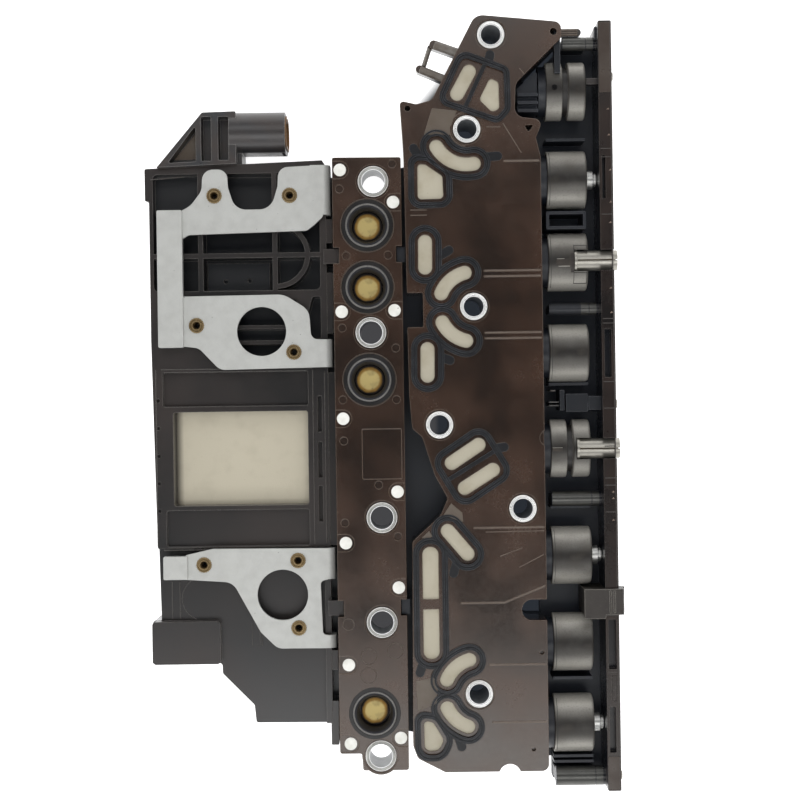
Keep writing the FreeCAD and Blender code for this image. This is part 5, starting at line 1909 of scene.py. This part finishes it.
@dataclass
class ConnectorTrim:
    """Rolled edge of the connector barrel's mouth and the floor of its arm's bay."""

    workshop: Workshop
    axis: Tuple[float, float] = (111.4, 17.0)
    half_width: float = 8.2
    half_height: float = 14.0
    mouth: float = -39.2
    edge: Tuple[Tuple[float, float], ...] = (
        (0.0, -1.6), (0.0, -0.5), (0.35, 0.0), (1.1, 0.0), (1.5, -0.5), (1.5, -1.6),
    )
    bay: Tuple[Place, ...] = ((-85.2, 101.0), (-75.6, 101.4), (-75.6, 112.2))
    bay_levels: Tuple[float, float] = (19.9, 20.15)

    def outline(self, inset: float) -> List[Place]:
        """Obround of the barrel in the plane across its axis.

        Args:
            inset: how far it is shrunk, in millimetres.

        Returns:
            Its places, with Y first and Z second.
        """
        y, z = self.axis
        reach = self.half_height - self.half_width
        top = along_arc((y, z + reach), self.half_width - inset, 0.0, 180.0)
        return top + along_arc((y, z - reach), self.half_width - inset, 180.0, 360.0)

    def build(self) -> None:
        """Builds the rolled edge and the bay's floor."""
        rim = Form()
        loops = []
        for inset, reach in self.edge:
            loops.append(rim.loop([(self.mouth + reach, y, z) for y, z in self.outline(inset)]))
        for first, second in zip(loops, loops[1:]):
            rim.band(first, second)
        self.workshop.hand_over(rim, "barrel_rim", "grey_moulding", GREY)
        bay = Form()
        bay.prism(self.bay, *self.bay_levels)
        self.workshop.hand_over(bay, "arm_bay_floor", "grey_moulding", PORT_PAD, softened=0.05)


# The studio


@dataclass(frozen=True)
class SoftBox:
    """One soft lamp that faces the module: place and sides in metres, power in watts."""

    name: str
    place: Point
    size: Tuple[float, float]
    watts: float
    mirrored: bool = True

    def build(self) -> None:
        """Hangs the lamp; one that isn't mirrored lights matt surfaces alone."""
        data = bpy.data.lights.new(self.name, "AREA")
        data.shape = "RECTANGLE"
        data.size, data.size_y = self.size
        data.energy = self.watts
        lamp = bpy.data.objects.new(self.name, data)
        lamp.location = self.place
        lamp.rotation_euler = Vector(self.place).to_track_quat("Z", "Y").to_euler()
        lamp.visible_glossy = self.mirrored
        bpy.context.collection.objects.link(lamp)


@dataclass
class Studio:
    """Camera, lamps, floor and backdrop, in metres, with the lens in millimetres."""

    middle: Place = (0.0058, 0.002)
    camera_height: float = 0.816
    lens: float = 87.75
    sensor_width: float = 36.0
    near_limit: float = 0.01
    roll: float = -0.014
    floor_size: float = 14.0
    floor_level: float = -0.0002
    wall_sides: int = 64
    wall_radius: float = 6.0
    wall_height: float = 0.5
    # Outline of the floor's painted shade under the manifold and the strip
    manifold_sides: Tuple[float, float] = (0.012, 0.084)
    manifold_start: float = -0.13
    manifold_edge: float = -0.1
    manifold_end: float = 0.165
    edge_slope: float = 0.9
    end_slope: float = 0.25
    strip_sides: Tuple[float, float] = (-0.012, 0.02)
    strip_ends: Tuple[float, float] = (-0.11, 0.07)
    sky: Tuple[Tuple[float, Colour], ...] = (
        (0.2, (1.7, 1.7, 1.7, 1.0)),
        (0.45, (0.9, 0.9, 0.92, 1.0)),
        (0.68, (0.26, 0.26, 0.27, 1.0)),
        (0.92, (0.062, 0.064, 0.07, 1.0)),
    )
    soft_boxes: Tuple[SoftBox, ...] = (
        SoftBox("near_box", (0.0, -0.52, 1.15), (1.3, 0.52), 4.3),
        SoftBox("far_box", (0.0, 0.6, 1.15), (1.3, 0.5), 2.6),
        SoftBox("ceiling_fill", (0.0, 0.0, 1.5), (0.7, 0.7), 11.5, False),
    )

    def build(self) -> None:
        """Sets up everything round the module."""
        self.make_camera()
        self.make_world()
        for box in self.soft_boxes:
            box.build()
        self.make_floor()
        LOG.info("studio: camera, lamps, floor and backdrop")

    def make_camera(self) -> None:
        """Camera straight above the module."""
        data = bpy.data.cameras.new("camera")
        data.lens = self.lens
        data.sensor_width = self.sensor_width
        data.clip_start = self.near_limit
        camera = bpy.data.objects.new("camera", data)
        camera.location = (*self.middle, self.camera_height)
        camera.rotation_euler = (0.0, 0.0, self.roll)
        bpy.context.collection.objects.link(camera)
        bpy.context.scene.camera = camera
        bpy.context.scene.view_settings.view_transform = "Standard"

    def make_world(self) -> None:
        """Even sky that is dimmer straight above."""
        world = bpy.data.worlds.new("sky")
        world.use_nodes = True
        tree = world.node_tree
        sky = tree.nodes["Background"]
        direction = tree.nodes.new("ShaderNodeTexCoord")
        parts = tree.nodes.new("ShaderNodeSeparateXYZ")
        ramp = tree.nodes.new("ShaderNodeValToRGB")
        Graph.set_stops(ramp.color_ramp, self.sky)
        tree.links.new(direction.outputs["Generated"], parts.inputs["Vector"])
        tree.links.new(parts.outputs["Z"], ramp.inputs["Fac"])
        tree.links.new(ramp.outputs["Color"], sky.inputs["Color"])
        sky.inputs["Strength"].default_value = 1.0
        bpy.context.scene.world = world

    def make_floor(self) -> None:
        """White floor and round white wall, which the camera and gloss see as plain white."""
        mesh = bpy.data.meshes.new("floor")
        half = self.floor_size / 2
        corners = [(-half, -half, 0.0), (half, -half, 0.0), (half, half, 0.0), (-half, half, 0.0)]
        mesh.from_pydata(corners, [], [(0, 1, 2, 3)])
        mesh.materials.append(self.floor_material())
        floor = bpy.data.objects.new("floor", mesh)
        floor.location.z = self.floor_level
        bpy.context.collection.objects.link(floor)
        wall_mesh = bpy.data.meshes.new("backdrop")
        count = self.wall_sides
        ring = around((0.0, 0.0), self.wall_radius, count)
        points = [(x, y, level) for level in (0.0, self.wall_height) for x, y in ring]
        faces = [(i, (i + 1) % count, count + (i + 1) % count, count + i) for i in range(count)]
        wall_mesh.from_pydata(points, [], faces)
        wall_mesh.materials.append(self.backdrop_material())
        wall = bpy.data.objects.new("backdrop", wall_mesh)
        bpy.context.collection.objects.link(wall)

    @staticmethod
    def seen_directly(graph: Graph) -> Signal:
        """Tells rays from the camera and from glossy or clear surfaces from the others.

        Args:
            graph: the material's nodes.

        Returns:
            1 for those rays and 0 for the others.
        """
        rays = [
            graph.node("ShaderNodeLightPath", {}, {}, name)
            for name in ("Is Camera Ray", "Is Glossy Ray", "Is Transmission Ray")
        ]
        return (rays[0] + rays[1] + rays[2]).above(0.0, 1.0)

    def backdrop_material(self) -> bpy.types.Material:
        """Matt white wall.

        Returns:
            The finished material.
        """
        graph = Graph("backdrop_white")
        mottle = graph.noise(graph.position(), 400.0)
        glow = graph.blend(self.seen_directly(graph), (0, 0, 0, 1.0), (0.8, 0.8, 0.8, 1.0))
        graph.surface(
            {
                "Base Color": graph.blend(mottle, (0.8, 0.8, 0.8, 1.0), (0.84, 0.84, 0.84, 1.0)),
                "Roughness": 1.0,
                "Emission Color": glow,
                "Emission Strength": 1.0,
            }
        )
        return graph.material

    def floor_material(self) -> bpy.types.Material:
        """Matt floor seen as plain white; painted shade under manifold and strip, with a dim grey
        painted glow.

        Returns:
            The finished material.
        """
        graph = Graph("floor_white")
        point = graph.position()
        x, y = (graph.along(point, axis) for axis in "XY")
        slant = x - self.edge_slope * y
        far = y + self.end_slope * x
        under_manifold = (
            x.within(*self.manifold_sides, 0.004)
            * slant.above(self.manifold_edge, 0.006)
            * y.above(self.manifold_start, 0.004)
            * (1.0 - far.above(self.manifold_end, 0.002))
        )
        under_strip = x.within(*self.strip_sides, 0.002) * y.within(*self.strip_ends, 0.004)
        # Painted shade: under the manifold and the strip the floor is dark and glows only dim grey
        shaded_under = (under_manifold + under_strip).above(0.0, 1.0)
        glow = self.seen_directly(graph) * (1.0 - shaded_under)
        shade = graph.blend(under_strip, tone(40, 44, 50), tone(68, 68, 70))
        white = graph.blend(graph.noise(point, 60.0), (0.84, 0.84, 0.84, 1), (0.88, 0.88, 0.88, 1))
        graph.surface(
            {
                "Base Color": graph.blend(shaded_under, white, tone(30, 32, 36)),
                "Roughness": 1.0,
                "Emission Color": graph.blend(glow, shade, (0.85, 0.85, 0.85, 1.0)),
                "Emission Strength": 1.0,
            }
        )
        return graph.material


def dress_frame(nodes: Dict[str, bpy.types.Object], shelf: FinishShelf) -> None:
    """Gives every solid of the frame its finish.

    Args:
        nodes: the frame's objects by name.
        shelf: where the materials are kept.
    """
    for name, solid in nodes.items():
        material = shelf.take(finish_of(name))
        if not solid.material_slots:
            solid.data.materials.append(material)
        for slot in solid.material_slots:
            slot.material = material
    LOG.info("frame: %d nodes dressed", len(nodes))


def main() -> None:
    """Loads the frame, dresses it and adds the studio."""
    logging.basicConfig(level=logging.INFO, format="%(name)s: %(message)s")
    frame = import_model()
    shelf = FinishShelf()
    dress_frame(frame["nodes"], shelf)
    workshop = Workshop(shelf)
    ManifoldTrim(workshop).build()
    SleeveRims(workshop).build()
    SwitchTrim(workshop).build()
    KnurledInserts(workshop).build()
    CanMarks(workshop).build()
    FrameTrim(workshop).build()
    TrayTrim(workshop).build()
    HousingTrim(workshop).build()
    ConnectorTrim(workshop).build()
    Studio().build()


if __name__ == "__main__":
    main()
